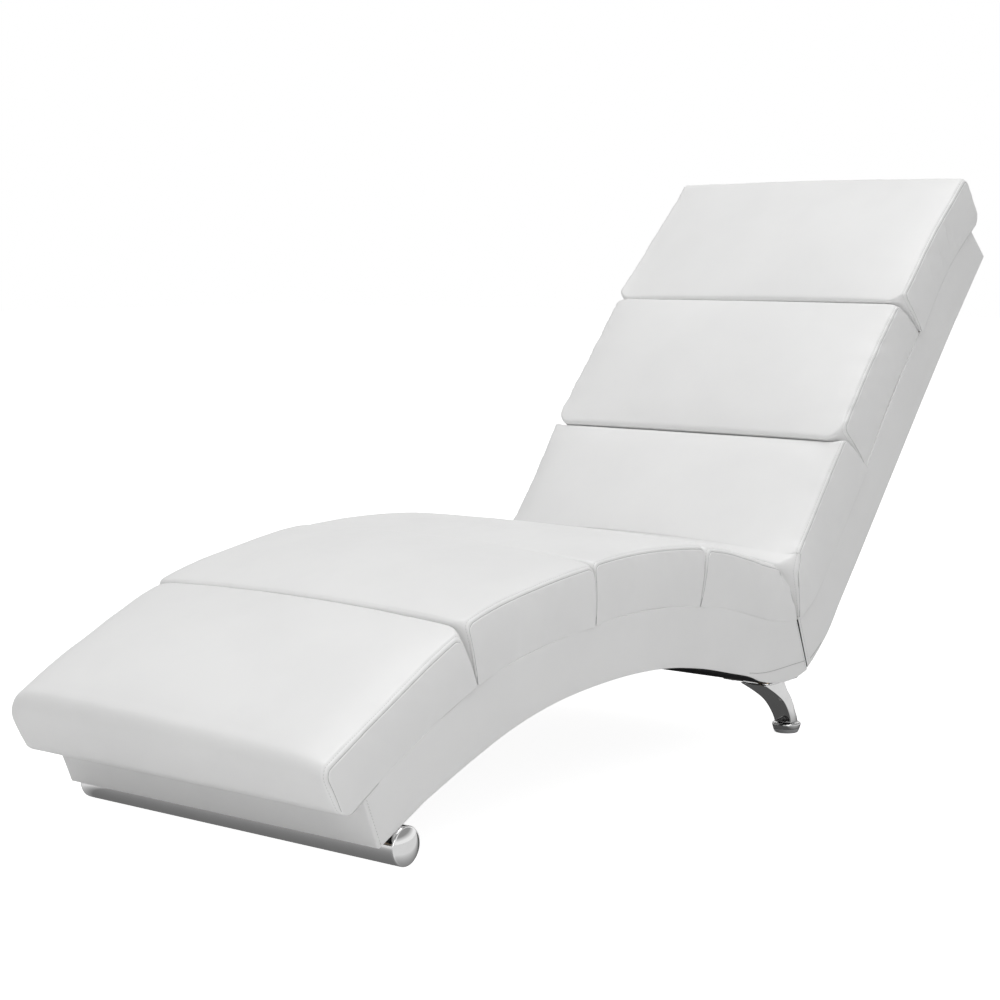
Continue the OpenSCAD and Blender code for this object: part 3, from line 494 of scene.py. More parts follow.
def cushionPlaces(spec, local):
    # bends the flat cushion onto the line that it lies on, with its crown and drawn-in sides
    shape = cushionShape
    s, y, h = local.T.copy()
    half, height = flatSize(spec)
    share = np.clip((s - spec["start"]) / (spec["end"] - spec["start"]), 0, 1)
    rise = np.clip(h / height, 0, 1)
    across = np.clip(np.abs(y) / (half - seamInset), 0, 1)
    crown = spec["crown"] * overLength(share, spec["crownEnds"]) * (1 - across ** shape["crownPower"])
    nearSide, farSide = spec["shoulders"]
    shoulder = nearSide + (farSide - nearSide) * (y / half + 1) / 2
    crown += shoulder * overLength(share, spec["shoulderEnds"]) * (1 - across ** shape["shoulderPower"])
    h = h * (1 + (overLength(share, spec["thickEnds"]) - 1) * rise) + crown * rise ** shape["risePower"]
    onSide = np.clip((np.abs(y) - half + shape["edge"]) / shape["edge"], 0, 1)
    y = y * (1 - spec.get("drawIn", shape["drawIn"]) * np.sin(np.pi * share) / half)
    y = y + np.sign(y) * onSide * (shape["swell"] * np.sin(np.pi * rise) - shape["tuck"] * (1 - rise) ** 2)
    side = np.clip((across - shape["leanInside"]) / (1 - shape["leanInside"]), 0, 1) ** 2
    lean = 0
    innerLeans = spec.get("innerLeans", (0, 0))
    for inner, outer, away in zip(innerLeans, spec["leans"], (s - spec["start"], spec["end"] - s)):
        lean = lean + (inner + (outer - inner) * side) * np.clip(1 - away / shape["leanReach"], 0, 1)
    lean = np.radians(lean)
    n = normalAt(spec["line"], s)
    up = np.stack([n[:, 0] * np.cos(lean) - n[:, 1] * np.sin(lean),
                   n[:, 0] * np.sin(lean) + n[:, 1] * np.cos(lean)], -1)
    return toFrame(pointAt(spec["line"], s) + (h + lounger["restGap"])[:, None] * up, y)


def hermite(x, knots, values):
    # smooth interpolation along the first axis of values
    slopes = np.gradient(values, knots, axis=0)
    i = np.clip(np.searchsorted(knots, x) - 1, 0, len(knots) - 2)
    width = knots[i + 1] - knots[i]
    t = np.clip((x - knots[i]) / width, 0, 1)
    extra = (slice(None),) + (None,) * (values.ndim - 1)
    t, width = t[extra], width[extra]
    return ((1 + 2 * t) * (1 - t) ** 2 * values[i] + t * (1 - t) ** 2 * width * slopes[i]
            + t * t * (3 - 2 * t) * values[i + 1] + t * t * (t - 1) * width * slopes[i + 1])


def loopKnots(grid):
    # how far round the loop each of its points lies, one for each of the four sides
    first = grid["local"][:grid["loopCount"]][:, [0, 2]]
    steps = np.linalg.norm(np.diff(np.vstack([first, first[:1]]), axis=0), axis=1)
    knots, at = [], 0
    for k, count in enumerate([grid["sideS"], grid["sideH"]] * 2):
        runs = np.concatenate([[0], np.cumsum(steps[at:at + count])])
        knots.extend(k + runs[:-1] / runs[-1])
        at += count
    return np.array(knots)


clothSettings = {"use_pressure": True, "uniform_pressure_force": 4.0, "pin_stiffness": 1.0,
                 "tension_stiffness": 12.0, "compression_stiffness": 12.0, "bending_stiffness": 1.2,
                 "shrink_min": -0.012, "quality": 5}
swelling = {"cell": 0.0125, "frames": 20, "softHold": 0.06, "endHold": 0.5, "holdReach": 0.004,
            "seamReach": 0.0005, "cap": 0.0030, "evenings": 3, "sideShare": 0.25}


def simulated(spec, name):
    # swells a coarse copy under pressure, held at its seams and underside, and returns how far it moved
    settings = swelling
    grid = cushionGrid(spec, settings["cell"], False)
    rest = cushionPlaces(spec, grid["local"])
    piece = makeObject(name + "Trial", rest, grid["faces"], finishes["cushion_leatherette"])
    hold = np.full(len(rest), settings["softHold"])
    s, y, h = grid["local"].T
    reach = settings["holdReach"]
    hold[(s < spec["start"] + reach) | (s > spec["end"] - reach)] = settings["endHold"]
    hold[grid["seamDistance"] < settings["seamReach"]] = 1.0
    hold[h < reach] = 1.0
    group = piece.vertex_groups.new(name="held")
    for value in np.unique(hold):
        group.add([int(i) for i in np.flatnonzero(hold == value)], float(value), "REPLACE")
    cloth = piece.modifiers.new("swelling", "CLOTH")
    for setting, value in clothSettings.items():
        setattr(cloth.settings, setting, value)
    cloth.settings.effector_weights.gravity = 0
    cloth.settings.vertex_group_mass = group.name
    cloth.collision_settings.use_collision = False
    cloth.collision_settings.use_self_collision = False
    cloth.point_cache.frame_start = 1
    cloth.point_cache.frame_end = settings["frames"]
    for step in range(1, settings["frames"] + 1):
        scene.frame_set(step)
    moved = vectorsOf(piece.evaluated_get(bpy.context.evaluated_depsgraph_get()), "co") - rest
    size = np.linalg.norm(moved, axis=1, keepdims=True)
    moved *= settings["cap"] / np.maximum(size, settings["cap"])
    band = moved[:len(grid["rows"]) * grid["loopCount"]].reshape(len(grid["rows"]), -1, 3)
    for _ in range(settings["evenings"]):
        band[:] = band / 2 + (np.roll(band, 1, axis=1) + np.roll(band, -1, axis=1)) / 4
        band[2:-2] = band[2:-2] / 2 + (band[1:-3] + band[3:-1]) / 4
    moved[np.abs(y) > flatSize(spec)[0] - cushionShape["edge"]] *= settings["sideShare"]
    bpy.data.objects.remove(piece)
    scene.frame_set(1)
    print("  swelling of", name, "up to", round(float(size.max()) * 1000, 1), "mm")
    return grid, moved


def carriedOver(coarse, moved, fine):
    # the coarse copy's movement, read at each point of the fine grid
    acrossCoarse, acrossFine = (np.array([y for _, y, _ in grid["rows"]]) for grid in (coarse, fine))
    bandShape = (len(coarse["rows"]), coarse["loopCount"], 3)
    band = moved[:bandShape[0] * bandShape[1]].reshape(bandShape)
    band = np.concatenate([band, band[:, :1]], axis=1)
    band = hermite(acrossFine, acrossCoarse, band)
    band = hermite(loopKnots(fine), np.append(loopKnots(coarse), 4.0), np.swapaxes(band, 0, 1))
    out = np.zeros((len(fine["local"]), 3))
    out[:len(fine["rows"]) * fine["loopCount"]] = np.swapaxes(band, 0, 1).reshape(-1, 3)
    for coarseIds, fineIds in zip(coarse["patches"], fine["patches"]):
        shares = []
        for grid, ids in ((coarse, coarseIds), (fine, fineIds)):
            for along in (grid["local"][ids[:, 0], 0], grid["local"][ids[0, :], 2]):
                shares.append((along - along[0]) / np.ptp(along))
        patch = hermite(shares[2], shares[0], moved[coarseIds])
        patch = np.swapaxes(hermite(shares[3], shares[1], np.swapaxes(patch, 0, 1)), 0, 1)
        out[fineIds[1:-1, 1:-1]] = patch[1:-1, 1:-1]
    return out


wholeTurn, waveStrength = 6.28, (0.6, 1.0)


def ripple(t, random, wavelengths):
    # an uneven wave made of a few sines with seeded phases
    total = np.zeros_like(t)
    for wavelength in wavelengths:
        phase = random.uniform(0, wholeTurn)
        total += np.sin(2 * np.pi * t / wavelength + phase) * random.uniform(*waveStrength)
    return total / len(wavelengths)


def foldDepth(folds, s, h):
    # short folds in a side panel: [start s, start h, end s, end h, half width, depth]
    total = np.zeros_like(s)
    for s0, h0, s1, h1, width, depth in folds:
        along = np.array((s1 - s0, h1 - h0))
        t = ((s - s0) * along[0] + (h - h0) * along[1]) / (along @ along)
        inside = np.clip(t, 0, 1)
        away = np.hypot(s - s0 - inside * along[0], h - h0 - inside * along[1])
        least = cushionShape["foldEnds"]
        total += depth * np.exp(-(away / width) ** 2) * (least + (1 - least) * np.sin(np.pi * inside))
    return total


def makeCushion(name, spec):
    shape = cushionShape
    fine = cushionGrid(spec, shape["cell"], True)
    places = cushionPlaces(spec, fine["local"])
    places = places + carriedOver(*simulated(spec, name), fine)
    piece = makeObject("cushion_" + name + "_padded", places, fine["faces"], finishes["cushion_leatherette"])
    random = np.random.default_rng(spec["seed"])
    s, y, h = fine["local"].T
    d = fine["seamDistance"]
    onTop = np.abs(y) < lounger["width"] / 2 + spec["wide"]
    stitchPlace = shape["edge"] * math.radians(shape["seamTurn"] - shape["stitchTurn"])
    relief = -shape["seamDepth"] * np.exp(-(d / shape["seamWidth"]) ** 2)
    relief = relief + shape["puff"] * np.exp(-((d - shape["puffPlace"]) / shape["puffWidth"]) ** 2) * onTop
    relief = relief - shape["stitchDepth"] * np.exp(-((d - stitchPlace) / shape["stitchWidth"]) ** 2) * onTop
    beyond = np.maximum(d - np.where(onTop, stitchPlace, shape["flatFrom"]), 0)
    pucker = 0
    for wavelengths, depth, reach in shape["puckers"]:
        pucker = pucker + ripple(s + h, random, wavelengths) * depth * np.exp(-beyond / reach)
    pucker = pucker * spec["pucker"] - foldDepth(spec.get("folds", ()), s, h) * ~onTop
    sewn = h > shape["sewnFrom"]  # the seams run up the ends and along the top
    places = vectorsOf(piece, "co") + vectorsOf(piece, "normal") * ((relief + pucker) * sewn)[:, None]
    piece.data.vertices.foreach_set("co", places.astype(np.float32).ravel())
    piece.data.update()
    finishPiece(piece, "cushion_leatherette", "lounger", "cushion_" + name)
    return piece, fine


def seamPath(piece, fine, side, turn):
    # the points of a loop of the cushion from the rear end's foot, over the top, to the front end's foot
    target = [i for i, row in enumerate(fine["rows"]) if row[0] == turn and row[1] * side > 0][0]
    start = fine["sideS"] + sewing["fromRear"]
    end = 2 * (fine["sideS"] + fine["sideH"]) - sewing["fromFront"]
    indices = [target * fine["loopCount"] + i for i in range(start, end)]
    return vectorsOf(piece, "co")[indices], vectorsOf(piece, "normal")[indices]


# Stitches and seam cords follow a path of points by Geometry Nodes

def pathObject(name, paths):
    vertices, edges, ups = [], [], []
    for points, out in paths:
        first = len(vertices)
        vertices.extend(map(tuple, points))
        ups.extend(map(tuple, out))
        edges.extend((i, i + 1) for i in range(first, len(vertices) - 1))
    mesh = bpy.data.meshes.new(name)
    mesh.from_pydata(vertices, edges, [])
    up = mesh.attributes.new("up", "FLOAT_VECTOR", "POINT")
    up.data.foreach_set("vector", np.array(ups, np.float32).ravel())
    return linked(name, mesh)


def makeTree(name, inputs, kinds, wires):
    # kinds has each node's type and settings; a wire says "node.Socket node.Socket", with _ for a space
    tree = bpy.data.node_groups.new(name, "GeometryNodeTree")
    for label, kind, way in (("Geometry", "Geometry", "INPUT"), *inputs, ("Geometry", "Geometry", "OUTPUT")):
        tree.interface.new_socket(label, in_out=way, socket_type="NodeSocket" + kind)
    made = {}
    kinds = {"given": ("NodeGroupInput", {}), "result": ("NodeGroupOutput", {}), **kinds}
    for label, (kind, settings) in kinds.items():
        node = made[label] = tree.nodes.new(kind)
        for setting, value in settings.items():
            if hasattr(node, setting):
                setattr(node, setting, value)
            else:
                node.inputs[setting].default_value = value
    for wire in wires.split(", "):
        (source, output), (target, socket) = (end.replace("_", " ").split(".") for end in wire.split(" "))
        tree.links.new(made[source].outputs[output], made[target].inputs[socket])
    return tree


kept = {"realize": ("GeometryNodeRealizeInstances", {}), "colour": ("GeometryNodeSetMaterial", {})}
keptWires = (", realize.Geometry colour.Geometry, given.Thread colour.Material, "
             "colour.Geometry result.Geometry")
stitchNodes = makeTree("stitchRow", [
    ("Pitch", "Float", "INPUT"), ("Stitch size", "Vector", "INPUT"), ("Sink", "Float", "INPUT"),
    ("Thread", "Material", "INPUT"),
], {
    "toCurve": ("GeometryNodeMeshToCurve", {}),
    "resample": ("GeometryNodeResampleCurve", {"mode": "LENGTH"}),
    "tangent": ("GeometryNodeInputTangent", {}),
    "up": ("GeometryNodeInputNamedAttribute", {"data_type": "FLOAT_VECTOR", "Name": "up"}),
    "along": ("FunctionNodeAlignRotationToVector", {"axis": "X"}),
    "upright": ("FunctionNodeAlignRotationToVector", {"axis": "Z", "pivot_axis": "X"}),
    "stitch": ("GeometryNodeMeshUVSphere", {"Segments": 6, "Rings": 5, "Radius": 0.5}),
    "place": ("GeometryNodeInstanceOnPoints", {}),
    "lift": ("ShaderNodeVectorMath", {"operation": "SCALE"}),
    "set": ("GeometryNodeSetPosition", {}),
    **kept,
}, "given.Geometry toCurve.Mesh, toCurve.Curve resample.Curve, given.Pitch resample.Length, "
   "resample.Curve set.Geometry, up.Attribute lift.Vector, given.Sink lift.Scale, lift.Vector set.Offset, "
   "set.Geometry place.Points, stitch.Mesh place.Instance, tangent.Tangent along.Vector, "
   "along.Rotation upright.Rotation, up.Attribute upright.Vector, upright.Rotation place.Rotation, "
   "given.Stitch_size place.Scale, place.Instances realize.Geometry" + keptWires)
cordNodes = makeTree("seamCord", [("Radius", "Float", "INPUT"), ("Thread", "Material", "INPUT")], {
    "toCurve": ("GeometryNodeMeshToCurve", {}),
    "circle": ("GeometryNodeCurvePrimitiveCircle", {"Resolution": 6}),
    "toMesh": ("GeometryNodeCurveToMesh", {"Fill Caps": True}),
    **kept,
}, "given.Geometry toCurve.Mesh, given.Radius circle.Radius, toCurve.Curve toMesh.Curve, "
   "circle.Curve toMesh.Profile_Curve, toMesh.Mesh realize.Geometry" + keptWires)
sewing = {"pitch": 0.0044, "stitchSize": (0.0033, 0.0009, 0.0007), "sink": -0.0001, "cordRadius": 0.0005,
          "fromRear": 3, "fromFront": 2}
stitching = (stitchNodes, {"Pitch": sewing["pitch"], "Stitch size": sewing["stitchSize"],
                           "Sink": sewing["sink"], "Thread": stitchThread})
# the seam cords carry the dark thread that paints the seams' shade
cording = (cordNodes, {"Radius": sewing["cordRadius"], "Thread": seamShadeThread})


def sewOn(name, tree, values, paths, slotName="cushion_leatherette"):
    # sets a tree's inputs by their identifiers, then keeps the result as a plain mesh
    piece = pathObject(name, paths)
    modifier = piece.modifiers.new(tree.name, "NODES")
    modifier.node_group = tree
    for item in tree.interface.items_tree:
        if item.item_type == "SOCKET" and item.in_out == "INPUT" and item.name in values:
            modifier[item.identifier] = values[item.name]
    bpy.context.view_layer.update()
    mesh = bpy.data.meshes.new_from_object(piece.evaluated_get(bpy.context.evaluated_depsgraph_get()))
    piece.modifiers.remove(modifier)
    piece.data = mesh
    mesh.polygons.foreach_set("use_smooth", [True] * len(mesh.polygons))
    finishPiece(piece, slotName, "lounger")


for cushionName, cushionSpec in cushions.items():
    cushion, cushionFine = makeCushion(cushionName, cushionSpec)
    for start, tools, turn in (("seams_", cording, cushionShape["seamTurn"]),
                               ("stitches_", stitching, cushionShape["stitchTurn"])):
        sewOn(start + cushionName, *tools, [seamPath(cushion, cushionFine, side, turn) for side in (-1, 1)])
print("cushions made")

# Frame covers: a thin closed panel with rounded borders over a grid of places

coverShape = {
    "thick": 0.0028, "cornerRadius": 0.0035, "hemRadius": 0.0020, "deckRadius": 0.0010, "cell": 0.0090,
    "borderSteps": 6, "pillow": 0.0006, "pillowReach": 0.03, "flatReach": 0.008, "ripple": 0.0004,
    "rippleReach": 0.05, "wavesAlong": (0.09, 0.15, 0.23), "wavesAcross": (0.07, 0.11),
    "rowSink": 0.0004, "rowSteps": 40,
}


def panelAxis(length, startBorder, endBorder):
    # places along one direction of a panel, with the depth that its rounded borders have there
    (x0, z0), (x1, z1) = (
        (radius * (1 - np.cos(turns)), radius * (1 - np.sin(turns))) for radius, turns in (
            (radius, np.radians(np.linspace(fromTurn, 90, coverShape["borderSteps"])))
            for radius, fromTurn in (startBorder, endBorder)))
    count = max(2, round((length - x0[-1] - x1[-1]) / coverShape["cell"]))
    middle = np.linspace(x0[-1], length - x1[-1], count + 1)[1:-1]
    return (np.concatenate([x0, middle, length - x1[::-1]]),
            np.concatenate([z0, np.zeros(len(middle)), z1[::-1]]))


def makePanel(name, surface, outward, lengths, borders, nodeName, seed, slotName="frame_leatherette",
              thick=coverShape["thick"]):
    # surface and outward take shares of both directions, and give points and unit directions
    shape = coverShape
    a, depthA = panelAxis(lengths[0], *borders[:2])
    b, depthB = panelAxis(lengths[1], *borders[2:])
    A, B = np.meshgrid(a / lengths[0], b / lengths[1], indexing="ij")
    depth = np.sqrt(depthA[:, None] ** 2 + depthB[None, :] ** 2)
    points, out = surface(A, B), outward(A, B)
    random = np.random.default_rng(seed)
    inA = np.minimum(a, lengths[0] - a)[:, None]
    inB = np.minimum(b, lengths[1] - b)[None, :]
    pillow, flat = ((1 - np.exp(-inA / reach)) * (1 - np.exp(-inB / reach))
                    for reach in (shape["pillowReach"], shape["flatReach"]))
    wave = ripple(a, random, shape["wavesAlong"])[:, None] * np.exp(-inB / shape["rippleReach"])
    wave = wave + ripple(b, random, shape["wavesAcross"])[None, :] * np.exp(-inA / shape["rippleReach"])
    front = points + out * (shape["pillow"] * pillow + shape["ripple"] * wave * flat - depth)[..., None]
    back = points - out * thick
    rows, columns = A.shape
    offset = rows * columns
    faces = []
    for i in range(rows - 1):
        for p in range(i * columns, (i + 1) * columns - 1):
            quad = (p, p + columns, p + columns + 1, p + 1)
            faces += [quad, tuple(q + offset for q in reversed(quad))]
    grid = np.arange(offset).reshape(rows, columns)
    rim = [*grid[:, 0], *grid[-1, 1:], *grid[-2::-1, -1], *grid[0, -2:0:-1]]
    faces += [tuple(map(int, (p, p + offset, q + offset, q))) for p, q in zip(rim, rim[1:] + rim[:1])]
    vertices = np.concatenate([front.reshape(-1, 3), back.reshape(-1, 3)])
    makeClosed(name, vertices, faces, slotName, "lounger", nodeName)


def lineShare(line):
    runs = runsOf(line) / runsOf(line)[-1]
    return lambda share: np.stack([np.interp(share, runs, line[:, k]) for k in (0, 1)], -1)


def makeSideCover(name, upper, lower, side, borders, nodeName, seed):
    upperAt, lowerAt = lineShare(upper), lineShare(lower)
    height = float(np.linalg.norm(upperAt(0.5) - lowerAt(0.5)))

    def surface(a, b):
        places = lowerAt(a) * (1 - b)[..., None] + upperAt(a) * b[..., None]
        return toFrame(places, np.full(a.shape, side * halfCover))

    def outward(a, b):
        return np.broadcast_to(np.array([0.0, side, 0.0]), a.shape + (3,))

    makePanel(name, surface, outward, (runsOf(lower)[-1], height), borders, nodeName, seed)


def makeCrossPanel(name, line, flip, borders, nodeName, seed, half=halfCover, **kind):
    # a panel across the width, along a line of the side outline
    lineAt = lineShare(line)
    length = runsOf(line)[-1]

    def surface(a, b):
        return toFrame(lineAt(a), (2 * b - 1) * half)

    def outward(a, b):
        n = normalAt(line, a * length) * flip
        return np.stack([n[..., 0], np.zeros(a.shape), n[..., 1]], -1)

    makePanel(name, surface, outward, (length, 2 * half), borders, nodeName, seed, **kind)


corner = (coverShape["cornerRadius"], 45)
turnedIn = (coverShape["hemRadius"], 0)
underCushion = (coverShape["deckRadius"], 0)
splitOpen = np.array([[lounger["splitOpen"], 0], [0, 0]])  # the split opens a little towards the cushions
splitFront = movedCut(splitCut, -lounger["splitGap"] / 2) - splitOpen
splitRear = movedCut(splitCut, lounger["splitGap"] / 2) + splitOpen
hemOut = hemLine - normalAt(hemLine, runsOf(hemLine)) * lounger["hemDrop"]
baseTop, baseHem = (trimmed(line, frontCut, splitFront) for line in (seatLine, hemOut))
backTop, backRear = (trimmed(line, splitRear, topCut) for line in (backLine, rearLine))
for sideName, side in sides:
    makeSideCover("base_side_leatherette_" + sideName, baseTop, baseHem, side,
                  (corner, turnedIn, turnedIn, underCushion), "base_side_cover_" + sideName, 11 + side)
    makeSideCover("back_side_leatherette_" + sideName, backTop, backRear, side,
                  (turnedIn, corner, corner, underCushion), "back_side_cover_" + sideName, 17 + side)
makeCrossPanel("base_front_leatherette", np.array([baseHem[0], baseTop[0]]), 1,
               (turnedIn, turnedIn, corner, corner), "base_front_cover", 23)
makeCrossPanel("back_rear_leatherette", backRear, -1,
               (turnedIn, corner, corner, corner), "back_rear_cover", 29)
makeCrossPanel("back_top_leatherette", np.array([backRear[-1], backTop[-1]]), -1,
               (corner, turnedIn, corner, corner), "back_top_cover", 31)
print("frame covers made")

# Sewing on the frame covers: rows beside the split and the front corners, and seams low at the base's rear

frameRows = {
    "splitEnds": 0.006, "splitBeside": 0.006, "frontEnds": 0.004, "frontBeside": 0.005,
    "lowSeams": (((0.950, 0.1225), (0.972, 0.1188), (0.996, 0.1165), (1.026, 0.1158), (1.050, 0.1164),
                  (1.078, 0.1170), (1.118, 0.1175)),
                 ((1.130, 0.1190), (1.147, 0.1290), (1.163, 0.1395))),
}


def sideRow(side, places):
    out = side * (halfCover + coverShape["pillow"] - coverShape["rowSink"])
    return toFrame(places, np.full(len(places), out)), np.tile((0.0, float(side), 0.0), (len(places), 1))


def between(start, end, inset, beside):
    # places from one point to another, beside the line between them and short of its ends
    along, left = unit(start, end)
    share = np.linspace(0, 1, coverShape["rowSteps"])[:, None]
    first, last = start + along * inset + left * beside, end - along * inset + left * beside
    return first * (1 - share) + last * share


for sideName, side in sides:
    splitShift = frameRows["splitBeside"]
    rows = [between(crotch, heel, frameRows["splitEnds"], shift) for shift in (-splitShift, splitShift)]
    rows.append(between(frontCut[1], frontCut[0], frameRows["frontEnds"], -frameRows["frontBeside"]))
    lowRows = [np.array(seam) for seam in frameRows["lowSeams"]]
    for start, tools, lines in (("stitches_base_", stitching, rows), ("seams_base_", cording, lowRows)):
        sewOn(start + sideName, *tools, [sideRow(side, line) for line in lines], "frame_leatherette")

# Black dust cloth under the base, from its front edge to its heel, and black strips set inside the split,
# which make it read dark

cloth = {
    "lap": 0.0030, "thick": 0.0006, "inset": 0.0032, "legGap": 0.0002, "border": (0.0006, 0),
    "splitDepth": 0.0008, "splitThick": 0.0004, "splitTop": 0.003, "splitBottom": 0.004, "splitWide": 1.4,
}


def makeCloth():
    lapped = hemLine + normalAt(hemLine, runsOf(hemLine)) * cloth["lap"]
    levelStart, levelEnd = (lounger[k] * lounger["length"] for k in ("levelStart", "levelEnd"))
    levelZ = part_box("rear_leg_left")[1].z + cloth["legGap"]
    front = lapped[lapped[:, 0] < levelStart]
    rear = lapped[(lapped[:, 0] > levelEnd) & (lapped[:, 1] > levelZ)]
    line = np.vstack([front, [(levelStart, levelZ), (levelEnd, levelZ)], rear])
    line = trimmed(line, movedCut(frontCut, cloth["inset"]), movedCut(splitCut, -cloth["inset"]))
    makeCrossPanel("dust_cloth_under_base", line, -1, (cloth["border"],) * 4, "base_dust_cloth", 41,
                   half=halfCover - cloth["inset"], slotName="dust_cloth", thick=cloth["thick"])
    # black strips inside the split, which make it read dark
    down, left = unit(crotch, heel)
    top, bottom = crotch + down * cloth["splitTop"], heel - down * cloth["splitBottom"]
    wide = left * lounger["splitGap"] * cloth["splitWide"]
    outline = np.array([top - wide, top + wide, bottom + wide, bottom - wide])
    faces = [(0, 1, 2, 3), (7, 6, 5, 4), (0, 4, 5, 1), (1, 5, 6, 2), (2, 6, 7, 3), (3, 7, 4, 0)]
    for sideName, side in sides:
        outer = side * (halfCover - cloth["splitDepth"])
        strip = [toFrame(outline, np.full(4, y)) for y in (outer - side * cloth["splitThick"], outer)]
        makeClosed("black_strip_in_split_" + sideName, np.vstack(strip), faces, "dust_cloth", "lounger")


makeCloth()

# Chrome: the tube across the foot end, the legs and the levelling feet

chrome = {
    "segments": 96, "tubeWall": 0.0020, "tubeEdge": 0.0008,
    "capDome": 0.0085, "capRim": 0.0017, "capCrease": 0.0004, "capPlug": 0.016,
    "legFrontShares": [(0, 1), (0.14, 0.895), (0.325, 0.75), (0.51, 0.58), (0.62, 0.44), (0.71, 0.28),
                       (0.77, 0.14), (0.807, 0)],
    "legRearShares": [(0.51, 1), (0.61, 0.80), (0.73, 0.62), (0.825, 0.44), (0.90, 0.255),
                      (0.956, 0.137), (1, 0)],
    "legTopWidth": 0.045, "legFootWidth": 0.030, "legRidge": 0.0018, "legBulge": 0.0010, "legLevels": 44,
    "leastRadius": 0.0003,
    "ringShares": (0.03, 0.12, 0.3, 0.5, 0.7, 0.88, 0.97),
    "plateThick": 0.004, "plateRound": 0.0012, "plateCorner": 0.004,
    "discThick": 0.009, "discSideLow": 0.0212, "discRim": 0.0022, "discDish": 0.0006, "discEdge": 0.0005,
    "dishPlaces": ((2, 0), (2.6, 0.8), (3.6, 1)),  # rims in from the edge, and shares of the dish
    "hubReach": 0.004, "studRadius": 0.004, "threadDepth": 0.0006, "threadPitch": 0.00125,
    "threadEnd": 0.0004, "glideFoot": 0.0185, "glideRound": 0.0008, "glideTaper": 0.7,
    "glideInsets": (0.0006, 0.0004, 0.0009), "glideEdge": 0.0006, "fit": 0.0001,
    "domeSteps": 22, "cornerSteps": 5, "samePlace": 1e-7,
}


def arc(centre, radius, start, end, steps=6):
    turns = np.radians(np.linspace(start, end, steps + 1))
    return [(centre[0] + radius * math.cos(t), centre[1] + radius * math.sin(t)) for t in turns]


def makeLathe(name, profile, origin, axis, slotName, body, *nodesReplaced):
    # a profile of (radius, place along the axis), closed on the axis or back to its first point
    axis = Vector(axis)
    across = axis.orthogonal().normalized()
    second = axis.cross(across)
    segments = chrome["segments"]
    least = chrome["samePlace"]
    profile = [point for i, point in enumerate(profile) if i == 0 or math.dist(point, profile[i - 1]) > least]
    vertices, rings = [], []
    for radius, along in profile:
        middle = Vector(origin) + axis * along
        if radius < least:
            rings.append([len(vertices)] * segments)
            vertices.append(middle)
            continue
        rings.append(list(range(len(vertices), len(vertices) + segments)))
        for turn in (2 * math.pi * k / segments for k in range(segments)):
            vertices.append(middle + (across * math.cos(turn) + second * math.sin(turn)) * radius)
    closed = profile[0][0] > least
    faces = []
    for a, b in zip(rings, rings[1:] + (rings[:1] if closed else [])):
        for k in range(segments):
            j = (k + 1) % segments
            faces.append(tuple(dict.fromkeys((a[k], a[j], b[j], b[k]))))
    makeClosed(name, vertices, faces, slotName, body, *nodesReplaced)


def makeTube():
    look = chrome
    low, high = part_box("front_tube")
    radius = (high.z - low.z) / 2
    middle = (low + high) / 2
    half = (high.y - low.y) / 2
    edge, inner = look["tubeEdge"], radius - look["tubeWall"]
    profile = [(inner, half), (inner, -half)]
    profile += arc((radius - edge, -half + edge), edge, -90, 0)
    profile += arc((radius - edge, half - edge), edge, 0, 90)
    makeLathe("chrome_tube", profile, middle, (0, 1, 0), "chrome", "lounger", "front_tube")
    rim, dome = look["capRim"], look["capDome"]
    flat = radius - rim
    domeRadius = (flat ** 2 + (dome - rim) ** 2) / (2 * (dome - rim))
    domeTurn = math.degrees(math.asin(flat / domeRadius))
    plug = inner - look["fit"]
    for sideName, side in sides:
        profile = [(0, -look["capPlug"]), (plug, -look["capPlug"]), (plug, 0),
                   (radius - look["capCrease"], 0)]
        profile += arc((radius - rim, 0), rim, 0, 90)
        profile += arc((0, dome - domeRadius), domeRadius, 90 - domeTurn, 90, look["domeSteps"])
        profile[-1] = (0, dome)
        end = middle + Vector((0, side * half, 0))
        makeLathe("chrome_tube_cap_" + sideName, profile, end, (0, side, 0), "chrome", "lounger",
                  "front_tube_cap_" + sideName)


def roundedRing(x0, x1, y0, y1, radius, bulge):
    # a rounded rectangle, its long faces swelling a little
    ring = []
    corners = (((x1 - radius, y1 - radius), 0), ((x0 + radius, y1 - radius), 90),
               ((x0 + radius, y0 + radius), 180), ((x1 - radius, y0 + radius), 270))
    for k, (centre, start) in enumerate(corners):
        bend = arc(centre, radius, start, start + 90, chrome["cornerSteps"])
        ring += bend
        following, turn = corners[(k + 1) % 4]
        goal = arc(following, radius, turn, turn + 90, chrome["cornerSteps"])[0]
        out = np.array((math.cos(math.radians(start + 90)), math.sin(math.radians(start + 90))))
        for share in chrome["ringShares"]:
            place = np.array(bend[-1]) * (1 - share) + np.array(goal) * share
            ring.append(tuple(place + out * bulge * 4 * share * (1 - share)))
    return ring


def loft(rings):
    count = len(rings[0])
    faces = [tuple(reversed(range(count)))]
    for low in range(0, (len(rings) - 1) * count, count):
        for i in range(count):
            j = (i + 1) % count
            faces.append((low + i, low + j, low + count + j, low + count + i))
    faces.append(tuple(range((len(rings) - 1) * count, len(rings) * count)))
    return [point for ring in rings for point in ring], faces


